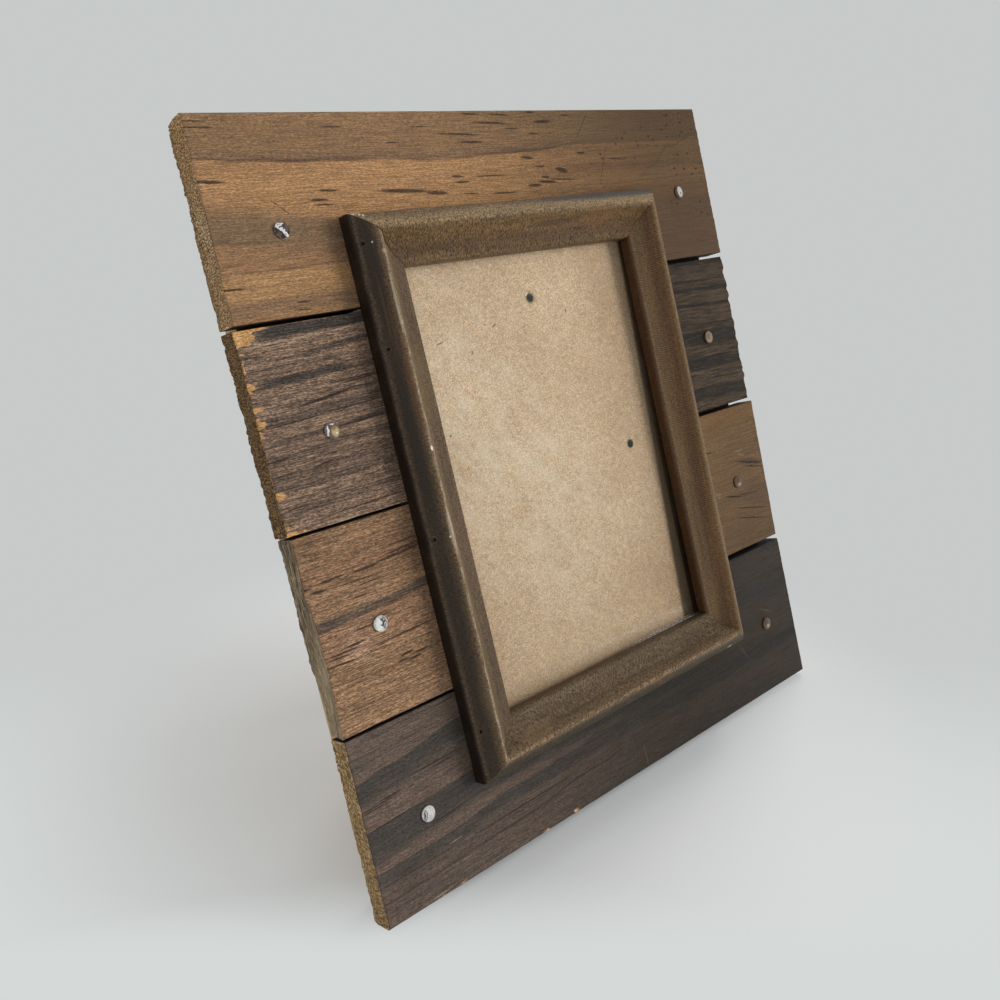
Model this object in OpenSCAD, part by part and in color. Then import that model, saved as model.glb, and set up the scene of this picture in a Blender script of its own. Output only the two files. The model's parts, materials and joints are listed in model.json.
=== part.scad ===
// A tabletop picture frame: four rough planks on two battens, with a mitred moulding round
// the picture, and a folding leg on the backboard.
// Most parts are drawn flat, as the face is seen from the front: X runs to the right,
// Y up the face from its bottom edge, and Z out of the planks' front towards the viewer.
// The stand module then leans them back onto the table.

/* [Stance] */
// Angle that the face leans back from upright
lean = 19.8; // [10:0.1:25]

/* [Planks] */
// Width of the face between the nominal plank ends
frame_w = 254; // [245:1:300]
// Thickness of the planks
plank_t = 9; // [8:0.5:14]
// Width of the worn bevel along each plank's front edges
plank_ease = 0.5; // [0.2:0.1:1.5]
// Height of the bottom plank
bottom_plank_h = 68.2; // [62:0.1:76]
// Height of the lower middle plank
lower_plank_h = 69.9; // [62:0.1:76]
// Height of the upper middle plank
upper_plank_h = 68.6; // [62:0.1:76]
// Height of the top plank
top_plank_h = 67.4; // [60:0.1:76]
// Gap between the bottom and lower planks, on the left
low_gap = 0.9; // [0.3:0.1:3]
// Gap between the lower and upper planks, on the left
mid_gap = 0.8; // [0.3:0.1:3]
// Gap between the upper and top planks, on the left
top_gap = 1.3; // [0.8:0.1:3]
// How much narrower the lower plank's right piece is than its left piece
lower_right_trim = 3; // [1.5:0.1:5]
// How far the lower plank's right piece sits above its left piece
lower_right_rise = 1.4; // [0:0.1:1.5]
// How far the upper plank's right piece sits below its left piece
upper_right_drop = 0.6; // [0:0.1:1]
// Overshoot of the top plank's ends: left foot, left head, right foot, right head
top_ends = [0.3, -0.3, 0.2, 0.4]; // [-1:0.1:1]
// Overshoot of the upper plank's ends, in the same order
upper_ends = [0.5, 1, -0.4, 0.1]; // [-1:0.1:1]
// Overshoot of the lower plank's ends, in the same order
lower_ends = [-0.4, -0.4, -0.5, 1]; // [-1:0.1:1]
// Overshoot of the bottom plank's ends, in the same order
bottom_ends = [0.3, -0.7, -0.3, 0]; // [-1:0.1:1]

/* [Picture] */
// Width of the glass and the backboard
pane_w = 127; // [110:0.5:130]
// Height of the glass and the backboard
pane_h = 177.8; // [165:0.2:185]
// Height of the picture's middle above the bottom edge of the face
pane_mid = 136.7; // [132:0.1:140]
// Room between the glass and the planks, at each edge
pane_room = 1.5; // [0.5:0.1:2.5]
// Thickness of the glass
glass_t = 2; // [1.5:0.1:3]
// Thickness of the backboard
board_t = 3; // [2:0.1:4]
// Gap between the moulding's back and the glass
glass_gap = 0.3; // [0.1:0.1:0.6]
// Gap between the glass and the backboard, where a print would lie
print_gap = 0.2; // [0.1:0.1:0.6]

/* [Moulding] */
// Width of each moulding rail
rail_w = 19.7; // [17:0.1:24]
// How far the rails reach in over the edge of the glass opening
rail_lip = 5.9; // [3:0.1:7]
// Height of the rails' outer side wall
side_h = 5.4; // [3:0.1:7]
// Bow of the rail's outer slope
side_bow = 0.7; // [0:0.1:1.5]
// Height of the ridge above the planks
ridge_h = 12.2; // [10:0.1:15]
// Distance of the ridge from the rail's outer edge
ridge_in = 7.1; // [6:0.1:8]
// Radius of the rounded ridge
ridge_r = 1.7; // [1:0.1:2]
// Height of the rail's inner edge, beside the glass
sight_h = 4.7; // [3.5:0.1:5.4]
// Distance from the rail's outer edge at which the cove turns from steep to flat
cove_in = 11.5; // [10.5:0.1:13]
// Height at which the cove turns
cove_h = 5.6; // [5:0.1:6.5]

/* [Battens] */
// Width of the two battens behind the planks
batten_w = 46; // [30:1:48]
// Thickness of the battens
batten_t = 9; // [6:0.5:14]
// Distance of each batten from the plank ends
batten_in = 5; // [3:0.5:8]
// Distance of the battens' feet from the bottom edge
batten_foot = 8; // [6:0.5:20]
// Distance of the battens' heads from the top edge
batten_head = 7; // [2:0.5:20]

/* [Plank nails] */
// Diameter of the nail heads
nail_head_d = 5.8; // [4:0.1:8]
// Height of the nail heads in front of the planks
nail_head_h = 1.1; // [0.6:0.1:1.6]
// Diameter of the nail shanks
nail_d = 1.8; // [1.2:0.1:2.6]
// Length of the nails below the head
nail_len = 16; // [12:0.5:16.5]
// How far the left nails stand outside the middle of their batten
left_nail_shift = 2.7; // [-3:0.1:7]
// How far the right nails stand outside the middle of their batten
right_nail_shift = 5.9; // [-3:0.1:7]
// Drop of the left nails below the middle of each plank, from the bottom plank up
left_nail_drop = [3, 2.1, 3.4, 5]; // [-5:0.1:5]
// Drop of the right nails below the middle of each plank, from the bottom plank up
right_nail_drop = [2.6, 1.9, 2.2, 4.1]; // [-5:0.1:5]

/* [Moulding brads] */
// Diameter of the brads through the upright rails
brad_d = 1.1; // [0.8:0.1:1.4]
// Distance of the brads from the rail's outer edge
brad_in = 1.9; // [1.5:0.1:3]
// Depth of the brads in the planks
brad_bite = 6; // [4:0.5:7.5]
// Height of the brads' heads above the planks
brad_top = 7.1; // [5:0.1:7.2]
// Rise of the brads above the middle of what a rail covers of each plank, from the bottom plank up
brad_rise = [2.4, 20.8, 19.1, 4.5]; // [-22:0.1:22]

/* [Retaining tabs] */
// Width of each bent steel tab
tab_w = 8; // [5:0.5:12]
// Length of a tab over the backboard, from its bend
tab_len = 8; // [6:0.5:10]
// Thickness of the tabs
tab_t = 0.5; // [0.4:0.1:0.6]
// Depth of a tab's tang in the wood
tang_len = 7; // [5:0.5:9]
// Distance of the tabs above and below the picture's middle
tab_spread = 55; // [45:1:60]

/* [Hangers] */
// Distance of a hanger's rivet from the nearest edge of the backboard
hanger_in = 22; // [20:0.5:26]
// Distance of the top hanger to the right of the middle
top_hanger_shift = 2.5; // [-5:0.1:5]
// Distance of the side hanger below the picture's middle
side_hanger_drop = 1.7; // [-5:0.1:5]
// Diameter of the hanger rivets' shank
rivet_d = 3; // [2:0.1:3.4]
// Diameter of the hanger rivets' heads
rivet_head_d = 5.2; // [4:0.1:6]
// Height of the hanger rivets' heads
rivet_head_h = 0.9; // [0.5:0.1:1]
// Width of the hanger straps
strap_w = 8; // [6:0.5:9]
// Thickness of one layer of strap
strap_t = 0.6; // [0.4:0.1:0.8]
// Distance from the rivet to the ring's pivot
strap_reach = 6; // [5:0.1:7]
// Diameter of the ring's wire
wire_d = 1.6; // [1.2:0.1:2]
// Length of the ring's straight side, between its corners
ring_w = 18; // [15:0.5:20]
// Distance from the ring's straight side to its point
ring_h = 12; // [10:0.5:13]

/* [Leg] */
// Distance of the leg's pivot below the backboard's top edge
pivot_drop = 47.6; // [44:0.1:65]
// Angle between the open leg and the face
open_angle = 35; // [30:0.5:42]
// Thickness of the leg
leg_t = 3; // [2.5:0.1:5]
// Width of the leg at its head
leg_head_w = 22; // [18:0.5:22]
// Width of the leg at its foot
leg_foot_w = 56; // [40:1:70]
// Gap between the folded leg's hinge leaf and the planks
fold_gap = 0.5; // [0.3:0.1:2]
// Diameter of the hinge pin
pin_d = 2; // [1.6:0.1:2.2]
// Diameter of the hinge pin's peened ends
pin_end_d = 3.2; // [2.6:0.1:4]
// Outer diameter of the leaf's knuckle
knuckle_d = 3.8; // [3.4:0.1:4]
// Thickness of the hinge's sheet steel
sheet_t = 0.8; // [0.6:0.1:1]
// Width of the bracket on the backboard
bracket_w = 26; // [25:0.5:30]
// Length of the bracket above the pivot
bracket_up = 14; // [13:0.5:16]
// Length of the bracket below the pivot
bracket_down = 4; // [3:0.5:6]
// Length of the leaf below the pivot
leaf_down = 18; // [15:0.5:24]
// Diameter of the small rivets that hold the bracket and the leaf
stud_d = 2.4; // [2:0.1:3]
// Distance between the two rivets of the bracket, and of the leaf
stud_gap = 12; // [10:0.5:14]

/* [Fits] */
// Clearance round a pin or wire that turns in its hole
turn_gap = 0.05; // [0.02:0.01:0.08]
// Clearance round a fixed nail, rivet or pin in its hole
nail_gap = 0.03; // [0.02:0.01:0.06]
// Clearance between flat faces of pieces that move past each other
slide_gap = 0.05; // [0.05:0.01:0.3]

/* [Hidden] */

ROUND = 48;
ARC_STEPS = 6;
// How far a cutter reaches past the face that it cuts
PAST = 1;
// Longer than anything here
FAR = 500;

// Planks, from the bottom edge of the face upwards
lower_s = bottom_plank_h + low_gap;
upper_s = lower_s + lower_plank_h + mid_gap;
top_s = upper_s + upper_plank_h + top_gap;
face_h = top_s + top_plank_h;
lower_right_s = lower_s + lower_right_rise;
lower_right_h = lower_plank_h - lower_right_trim;
upper_right_s = upper_s - upper_right_drop;
plank_mids = [
  bottom_plank_h / 2,
  lower_s + lower_plank_h / 2,
  upper_s + upper_plank_h / 2,
  top_s + top_plank_h / 2
];

// Opening for the glass, and the moulding round it
opening_w = pane_w + 2 * pane_room;
opening_h = pane_h + 2 * pane_room;
mould_w = opening_w + 2 * (rail_w - rail_lip);
mould_h = opening_h + 2 * (rail_w - rail_lip);
mould_foot = pane_mid - mould_h / 2;
mould_head = pane_mid + mould_h / 2;

// Height of each brad: over the middle of what the upright rails cover of its plank
plank_feet = [0, lower_s, upper_s, top_s];
plank_heads = [bottom_plank_h, lower_s + lower_plank_h, upper_s + upper_plank_h, face_h];
brad_up = [
  for (i = [0 : 3])
    (max(plank_feet[i], mould_foot) + min(plank_heads[i], mould_head)) / 2 + brad_rise[i]
];

// Depths behind the planks' front face, as heights along Z
glass_back = -glass_gap - glass_t;
board_front = glass_back - print_gap;
board_back = board_front - board_t;
plank_back = -plank_t;
batten_back = plank_back - batten_t;

// Battens and nails
batten_mid = frame_w / 2 - batten_in - batten_w / 2;
nail_x = [-(batten_mid + left_nail_shift), batten_mid + right_nail_shift];

// Tabs: the bend runs up the face beside the opening's wall
bend_gap = 0.25;
tab_bend_in = tab_t / 2 + bend_gap;
tab_z = board_back - slide_gap - tab_t / 2;
tang_gap = 0.1;

// Hangers: the ring turns in the strap's eye
eye_r = wire_d / 2 + turn_gap;
eye_out_r = eye_r + strap_t;
eye_z = board_back - eye_out_r;
strap_back = board_back - 2 * strap_t;
top_rivet = [top_hanger_shift, pane_mid + pane_h / 2 - hanger_in];
side_rivet = [pane_w / 2 - hanger_in, pane_mid - side_hanger_drop];

// Leg hinge: the leaf's middle plane runs through the pin
pivot_up = pane_mid + pane_h / 2 - pivot_drop;
bracket_back = board_back - sheet_t;
pivot_z = min(plank_back - fold_gap - sheet_t / 2, bracket_back - knuckle_d / 2 - slide_gap);
cheek_r = knuckle_d / 2 + 1.2;
cheek_gap = 0.3;
knuckle_w = bracket_w - 2 * sheet_t - 2 * cheek_gap;
leaf_w = leg_head_w - 2;
leg_head_down = knuckle_d / 2 + 1;
stud_head_d = stud_d * 1.9;
stud_head_h = 0.9;
bracket_stud_up = bracket_up - stud_head_d / 2 - 0.8;
leaf_stud_down = leaf_down - stud_head_d / 2 - 1.5;
// Stop: the leaf's tongue meets the bracket's plate when the leg is open
stop_w = 12;
stop_reach = (bracket_back - pivot_z - slide_gap - sheet_t / 2 * cos(open_angle)) / sin(open_angle);

// Place on the table: the bottom plank's rear edge and the leg's foot touch it
lift = plank_t * sin(lean);
leg_tilt = open_angle - lean;
pivot_y = pivot_up * sin(lean) - pivot_z * cos(lean);
pivot_high = pivot_up * cos(lean) + pivot_z * sin(lean) + lift;
leg_back = sheet_t / 2 + leg_t;
leg_run = (pivot_high + leg_back * sin(leg_tilt)) / cos(leg_tilt);
rear_y = pivot_y + leg_back * cos(leg_tilt) + leg_run * sin(leg_tilt);
front_y = min(
  plank_ease * sin(lean),
  (mould_foot + ridge_in - ridge_r / 2) * sin(lean) - ridge_h * cos(lean)
);
middle_y = (front_y + rear_y) / 2;

// Points along an arc from angle a to angle b
function arc(middle, r, a, b) = [
  for (i = [0 : ARC_STEPS])
    let (t = a + (b - a) * i / ARC_STEPS)
    middle + r * [cos(t), sin(t)]
];

// Points along a curve that leaves p towards q and arrives at r from q
function bend(p, q, r) = [
  for (i = [0 : ARC_STEPS])
    let (t = i / ARC_STEPS)
    (1 - t) * (1 - t) * p + 2 * t * (1 - t) * q + t * t * r
];

// Section of a rail: X in from the outer edge, Y up from the planks
ridge_mid = [ridge_in, ridge_h - ridge_r];
slope_foot = [0, side_h];
slope_head = ridge_mid + ridge_r * [cos(125), sin(125)];
slope_run = slope_head - slope_foot;
slope_turn = slope_foot + slope_run / 2 + side_bow * [-slope_run[1], slope_run[0]] / norm(slope_run);
rail_section = concat(
  [[0, 0]],
  bend(slope_foot, slope_turn, slope_head),
  arc(ridge_mid, ridge_r, 115, 35),
  bend(ridge_mid + ridge_r * [cos(27), sin(27)], [cove_in, cove_h], [rail_w - 0.5, sight_h]),
  [[rail_w, sight_h - 0.6], [rail_w, 0]]
);

// Leans the face back and centres the whole on the origin
module stand() {
  translate([0, -middle_y, lift]) rotate([90 - lean, 0, 0]) children();
}

// Swings the folded leg out about its pivot
module open_leg() {
  translate([0, pivot_up, pivot_z]) rotate([open_angle, 0, 0]) children();
}

// A section with X up the face and Y out of it, run along the width
module along_width(len) {
  rotate([90, 0, 90]) linear_extrude(len, center = true) children();
}

// A round rod along the width, its middle at the origin
module rod_x(r, len) {
  rotate([0, 90, 0]) cylinder(r = r, h = len, center = true, $fn = ROUND);
}

// A long bar with both front edges eased
module plank_bar(h) {
  along_width(frame_w + 4)
    polygon([
      [0, plank_back], [h, plank_back], [h, -plank_ease],
      [h - plank_ease, 0], [plank_ease, 0], [0, -plank_ease]
    ]);
}

// Bores of all the plank nails
module nail_bores() {
  for (side = [0, 1], i = [0 : 3])
    translate([nail_x[side], nail_up(side, i), -nail_len])
      cylinder(r = nail_d / 2 + nail_gap, h = nail_len + PAST, $fn = ROUND);
}

function nail_up(side, i) =
  plank_mids[i] - (side == 0 ? left_nail_drop[i] : right_nail_drop[i]);

// Bores of all the brads, in the planks and the upright rails
module brad_bores() {
  for (side = [-1, 1], i = [0 : 3])
    translate([side * (mould_w / 2 - brad_in), brad_up[i], -brad_bite])
      cylinder(r = brad_d / 2 + nail_gap, h = brad_bite + ridge_h + PAST, $fn = ROUND);
}

// Slots for the tabs' tangs in the opening's side walls
module tang_slots() {
  for (side = [-1, 1], end = [-1, 1])
    translate([side * opening_w / 2, pane_mid + end * tab_spread, tab_z])
      cube([2 * tang_len, tab_w, tab_t], center = true);
}

// One plank, or the piece of one between x_left and x_right, with its cuts
module plank(s, h, outline) {
  difference() {
    intersection() {
      translate([0, s, 0]) plank_bar(h);
      translate([0, 0, plank_back - PAST]) linear_extrude(plank_t + 2 * PAST) polygon(outline);
    }
    translate([-opening_w / 2, pane_mid - opening_h / 2, plank_back - PAST])
      cube([opening_w, opening_h, plank_t + 2 * PAST]);
    nail_bores();
    brad_bores();
    tang_slots();
  }
}

// Outline of a plank that runs the whole width
function whole_outline(s, h, ends) = [
  [-frame_w / 2 - ends[0], s], [frame_w / 2 + ends[2], s],
  [frame_w / 2 + ends[3], s + h], [-frame_w / 2 - ends[1], s + h]
];

// Outline of the left piece of a plank that the opening cuts in two
function left_outline(s, h, ends) = [
  [-frame_w / 2 - ends[0], s], [-opening_w / 2, s],
  [-opening_w / 2, s + h], [-frame_w / 2 - ends[1], s + h]
];

// Outline of the right piece
function right_outline(s, h, ends) = [
  [opening_w / 2, s], [frame_w / 2 + ends[2], s],
  [frame_w / 2 + ends[3], s + h], [opening_w / 2, s + h]
];

module bottom_plank() {
  color("#4a3e39") stand()
    plank(0, bottom_plank_h, whole_outline(0, bottom_plank_h, bottom_ends));
}

module lower_plank_left() {
  color("#80604a") stand()
    plank(lower_s, lower_plank_h, left_outline(lower_s, lower_plank_h, lower_ends));
}

module lower_plank_right() {
  color("#8a6440") stand()
    plank(
      lower_right_s, lower_right_h,
      right_outline(lower_right_s, lower_right_h, lower_ends)
    );
}

module upper_plank_left() {
  color("#54463d") stand()
    plank(upper_s, upper_plank_h, left_outline(upper_s, upper_plank_h, upper_ends));
}

module upper_plank_right() {
  color("#4a3d35") stand()
    plank(
      upper_right_s, upper_plank_h,
      right_outline(upper_right_s, upper_plank_h, upper_ends)
    );
}

module top_plank() {
  color("#95704e") stand()
    plank(top_s, top_plank_h, whole_outline(top_s, top_plank_h, top_ends));
}

// An upright batten behind the planks, on one side
module batten(side) {
  color("#c9a877") stand() difference() {
    translate([side * batten_mid - batten_w / 2, batten_foot, batten_back])
      cube([batten_w, face_h - batten_foot - batten_head, batten_t]);
    nail_bores();
  }
}

module batten_left() {
  batten(-1);
}

module batten_right() {
  batten(1);
}

// A nail with a low domed head, its point down and its head's underside at the origin
module nail() {
  dome_r = (pow(nail_head_d / 2, 2) + pow(nail_head_h * 0.6, 2)) / (2 * nail_head_h * 0.6);
  cylinder(r = nail_head_d / 2, h = nail_head_h * 0.4, $fn = ROUND);
  intersection() {
    translate([0, 0, nail_head_h - dome_r]) sphere(r = dome_r, $fn = ROUND);
    translate([0, 0, nail_head_h * 0.4]) cylinder(r = nail_head_d / 2, h = nail_head_h, $fn = ROUND);
  }
  translate([0, 0, -nail_len + 2]) cylinder(r = nail_d / 2, h = nail_len - 2, $fn = ROUND);
  translate([0, 0, -nail_len])
    cylinder(r1 = 0.2, r2 = nail_d / 2, h = 2, $fn = ROUND);
}

module plank_nails() {
  color("#c8c8ca") stand()
    for (side = [0, 1], i = [0 : 3])
      translate([nail_x[side], nail_up(side, i), 0]) nail();
}

// A mitred rail: its outer edge on the X axis, its inner edge towards +Y
module rail(len) {
  intersection() {
    along_width(len) polygon(rail_section);
    linear_extrude(ridge_h + PAST)
      polygon([[-len / 2, 0], [len / 2, 0], [len / 2 - rail_w, rail_w], [-len / 2 + rail_w, rail_w]]);
  }
}

module moulding_bottom() {
  color("#5d4a32") stand()
    translate([0, mould_foot, 0]) rail(mould_w);
}

module moulding_top() {
  color("#5d4a32") stand()
    translate([0, mould_head, 0]) rotate([0, 0, 180]) rail(mould_w);
}

// An upright rail, bored for its brads
module upright_rail(side) {
  difference() {
    translate([side * mould_w / 2, pane_mid, 0]) rotate([0, 0, 90 * side]) rail(mould_h);
    brad_bores();
  }
}

module moulding_left() {
  color("#5d4a32") stand() upright_rail(-1);
}

module moulding_right() {
  color("#5d4a32") stand() upright_rail(1);
}

module moulding_brads() {
  color("#3a3734") stand()
    for (side = [-1, 1], i = [0 : 3])
      translate([side * (mould_w / 2 - brad_in), brad_up[i], -brad_bite])
        cylinder(r = brad_d / 2, h = brad_bite + brad_top, $fn = ROUND);
}

module glass() {
  color("#cfe0dc", 0.35) stand()
    translate([-pane_w / 2, pane_mid - pane_h / 2, glass_back]) cube([pane_w, pane_h, glass_t]);
}

module backboard() {
  color("#b89a72") stand() difference() {
    translate([-pane_w / 2, pane_mid - pane_h / 2, board_back]) cube([pane_w, pane_h, board_t]);
    for (place = [top_rivet, side_rivet])
      translate([place[0], place[1], board_back - PAST])
        cylinder(r = rivet_d / 2 + nail_gap, h = board_t + 2 * PAST, $fn = ROUND);
    bracket_stud_places() translate([0, 0, board_back - PAST])
      cylinder(r = stud_d / 2 + nail_gap, h = board_t / 2 + PAST, $fn = ROUND);
  }
}

// Tangs of the four tabs, driven into the planks
module tab_tangs() {
  color("#8f8f92") stand()
    for (side = [-1, 1], end = [-1, 1])
      translate([
        side * (opening_w / 2 - tab_bend_in + tab_t / 2 + tang_gap),
        pane_mid + end * tab_spread,
        tab_z
      ])
        mirror([side < 0 ? 1 : 0, 0, 0]) tang();
}

// One tang, pointed at its far end, starting at the origin and running towards +X
module tang() {
  reach = tang_len + tab_bend_in - tab_t / 2 - tang_gap;
  translate([0, 0, -tab_t / 2]) linear_extrude(tab_t)
    polygon([[0, -tab_w / 2], [reach - 3, -tab_w / 2], [reach, 0], [reach - 3, tab_w / 2], [0, tab_w / 2]]);
}

// One tab's bent leaf, flat on the backboard, its bend at the opening's wall
module tab(side, end) {
  color("#a9a9ac") stand()
    translate([side * (opening_w / 2 - tab_bend_in), pane_mid + end * tab_spread, tab_z])
      mirror([side > 0 ? 1 : 0, 0, 0]) {
        rotate([90, 0, 0]) cylinder(r = tab_t / 2, h = tab_w, center = true, $fn = ROUND);
        translate([0, 0, -tab_t / 2]) linear_extrude(tab_t)
          polygon([
            [0, -tab_w / 2], [tab_len - 2, -tab_w / 2], [tab_len, -tab_w / 4],
            [tab_len, tab_w / 4], [tab_len - 2, tab_w / 2], [0, tab_w / 2]
          ]);
      }
}

module tab_upper_left() {
  tab(-1, 1);
}

module tab_upper_right() {
  tab(1, 1);
}

module tab_lower_left() {
  tab(-1, -1);
}

module tab_lower_right() {
  tab(1, -1);
}

// Puts a hanger on its rivet: drawn with the rivet at the origin and the ring's eye towards +Y
module top_place() {
  translate([top_rivet[0], top_rivet[1], 0]) children();
}

module side_place() {
  translate([side_rivet[0], side_rivet[1], 0]) rotate([0, 0, -90]) children();
}

// A steel strap folded round the ring's straight side and closed by the rivet
module strap() {
  difference() {
    union() {
      translate([0, 0, strap_back]) linear_extrude(2 * strap_t) {
        circle(r = strap_w / 2, $fn = ROUND);
        translate([-strap_w / 2, 0]) square([strap_w, strap_reach]);
      }
      translate([0, strap_reach, eye_z]) rod_x(eye_out_r, strap_w);
    }
    translate([0, 0, strap_back - PAST])
      cylinder(r = rivet_d / 2 + nail_gap, h = 2 * strap_t + 2 * PAST, $fn = ROUND);
    translate([0, strap_reach, eye_z]) rod_x(eye_r, strap_w + 2 * PAST);
  }
}

// A rivet through the backboard and the strap, its end flush with the backboard's front
module hanger_rivet() {
  translate([0, 0, strap_back]) cylinder(r = rivet_d / 2, h = board_front - strap_back, $fn = ROUND);
  translate([0, 0, strap_back]) rotate([180, 0, 0]) low_head(rivet_head_d, rivet_head_h);
}

// A low rivet head that rises from the origin
module low_head(d, h) {
  rotate_extrude($fn = ROUND)
    polygon(concat(
      [[0, 0], [d / 2, 0]],
      [for (i = [1 : ARC_STEPS - 1]) [d / 2 * cos(90 * i / ARC_STEPS), h * sin(90 * i / ARC_STEPS)]],
      [[0, h]]
    ));
}

// A wire ring bent to a triangle: its straight side on the X axis, its point towards -Y
ring_corners = [[ring_w / 2, 0], [0, -ring_h], [-ring_w / 2, 0]];

module wire(p, q) {
  translate([p[0], p[1], 0]) rotate([0, 0, atan2(q[1] - p[1], q[0] - p[0])]) rotate([0, 90, 0])
    cylinder(r = wire_d / 2, h = norm(q - p), $fn = ROUND);
  translate([p[0], p[1], 0]) sphere(r = wire_d / 2, $fn = ROUND);
}

module ring() {
  for (i = [0 : 2]) wire(ring_corners[i], ring_corners[(i + 1) % 3]);
}

module top_hanger_strap() {
  color("#b9b48f") stand() top_place() strap();
}

module top_hanger_rivet() {
  color("#59626b") stand() top_place() hanger_rivet();
}

// The top ring hangs plumb from its eye
module top_hanger_ring() {
  color("#b9b48f") stand() top_place()
    translate([0, strap_reach, eye_z]) rotate([lean, 0, 0]) ring();
}

module side_hanger_strap() {
  color("#b9b48f") stand() side_place() strap();
}

module side_hanger_rivet() {
  color("#59626b") stand() side_place() hanger_rivet();
}

// The side ring swings freely, so it stands straight out of the leaning backboard
module side_hanger_ring() {
  color("#b9b48f") stand() side_place()
    translate([0, strap_reach, eye_z]) rotate([90, 0, 0]) ring();
}

module bracket_stud_places() {
  for (side = [-1, 1])
    translate([side * stud_gap / 2, pivot_up + bracket_stud_up, 0]) children();
}

// Sheet-steel bracket on the backboard: a plate with two cheeks that carry the pin
module leg_bracket() {
  color("#9b9ca0") stand() difference() {
    union() {
      translate([-bracket_w / 2, pivot_up - bracket_down, bracket_back])
        cube([bracket_w, bracket_up + bracket_down, sheet_t]);
      for (side = [-1, 1])
        translate([side * (bracket_w - sheet_t) / 2, pivot_up, 0]) {
          translate([0, 0, pivot_z]) rod_x(cheek_r, sheet_t);
          translate([0, 0, (pivot_z + board_back) / 2])
            cube([sheet_t, 2 * cheek_r, board_back - pivot_z], center = true);
        }
    }
    translate([0, pivot_up, pivot_z]) rod_x(pin_d / 2 + nail_gap, bracket_w + 2 * PAST);
    bracket_stud_places() translate([0, 0, bracket_back - PAST])
      cylinder(r = stud_d / 2 + nail_gap, h = sheet_t + 2 * PAST, $fn = ROUND);
  }
}

// Short rivets that hold the bracket and stop inside the backboard
module bracket_rivets() {
  bite = board_t / 2 - 0.1;
  color("#7f8084") stand() bracket_stud_places() {
    translate([0, 0, bracket_back]) cylinder(r = stud_d / 2, h = sheet_t + bite, $fn = ROUND);
    translate([0, 0, bracket_back]) rotate([180, 0, 0]) low_head(stud_head_d, stud_head_h);
  }
}

module leg_pin() {
  color("#c0c0c4") stand() translate([0, pivot_up, pivot_z]) {
    rod_x(pin_d / 2, bracket_w);
    for (side = [-1, 1])
      translate([side * (bracket_w / 2 + sheet_t / 2), 0, 0]) rod_x(pin_end_d / 2, sheet_t);
  }
}

module leaf_stud_places() {
  for (side = [-1, 1])
    translate([side * stud_gap / 2, -leaf_stud_down, 0]) children();
}

// Leaf that turns on the pin: its plate lies on the leg, its tongue is the stop
module leg_leaf() {
  color("#9b9ca0") stand() open_leg() difference() {
    union() {
      rod_x(knuckle_d / 2, knuckle_w);
      translate([-leaf_w / 2, -leaf_down, -sheet_t / 2]) cube([leaf_w, leaf_down, sheet_t]);
      translate([-stop_w / 2, 0, -sheet_t / 2]) cube([stop_w, stop_reach, sheet_t]);
    }
    rod_x(pin_d / 2 + turn_gap, knuckle_w + 2 * PAST);
    leaf_stud_places() translate([0, 0, -sheet_t / 2 - PAST])
      cylinder(r = stud_d / 2 + nail_gap, h = sheet_t + 2 * PAST, $fn = ROUND);
  }
}

// Rivets through the leaf and the leg, headed on both sides
module leg_rivets() {
  color("#7f8084") stand() open_leg() leaf_stud_places() {
    translate([0, 0, -sheet_t / 2 - leg_t]) cylinder(r = stud_d / 2, h = sheet_t + leg_t, $fn = ROUND);
    translate([0, 0, -sheet_t / 2 - leg_t]) rotate([180, 0, 0]) low_head(stud_head_d, stud_head_h);
    translate([0, 0, sheet_t / 2]) low_head(stud_head_d, stud_head_h / 2);
  }
}

// The leg widens to its foot, which is cut flat where it meets the table
module easel_leg() {
  long = leg_run + leg_t;
  head_corner = 2;
  color("#a98a62") difference() {
    stand() open_leg() difference() {
      translate([0, 0, -leg_back]) linear_extrude(leg_t)
        polygon([
          [-leg_head_w / 2 + head_corner, -leg_head_down],
          [leg_head_w / 2 - head_corner, -leg_head_down],
          [leg_head_w / 2, -leg_head_down - head_corner],
          [leg_foot_w / 2, -long], [-leg_foot_w / 2, -long],
          [-leg_head_w / 2, -leg_head_down - head_corner]
        ]);
      leaf_stud_places() translate([0, 0, -leg_back - PAST])
        cylinder(r = stud_d / 2 + nail_gap, h = leg_t + 2 * PAST, $fn = ROUND);
    }
    translate([-FAR / 2, -FAR / 2, -FAR]) cube(FAR);
  }
}

bottom_plank();
lower_plank_left();
lower_plank_right();
upper_plank_left();
upper_plank_right();
top_plank();
batten_left();
batten_right();
plank_nails();
moulding_bottom();
moulding_right();
moulding_top();
moulding_left();
moulding_brads();
glass();
backboard();
tab_tangs();
tab_upper_left();
tab_upper_right();
tab_lower_left();
tab_lower_right();
top_hanger_strap();
top_hanger_rivet();
top_hanger_ring();
side_hanger_strap();
side_hanger_rivet();
side_hanger_ring();
leg_bracket();
bracket_rivets();
leg_pin();
leg_leaf();
leg_rivets();
easel_leg();
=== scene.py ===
import json
import math
from itertools import product

import bmesh
import bpy
import numpy as np
from mathutils import Matrix, Vector


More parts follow.
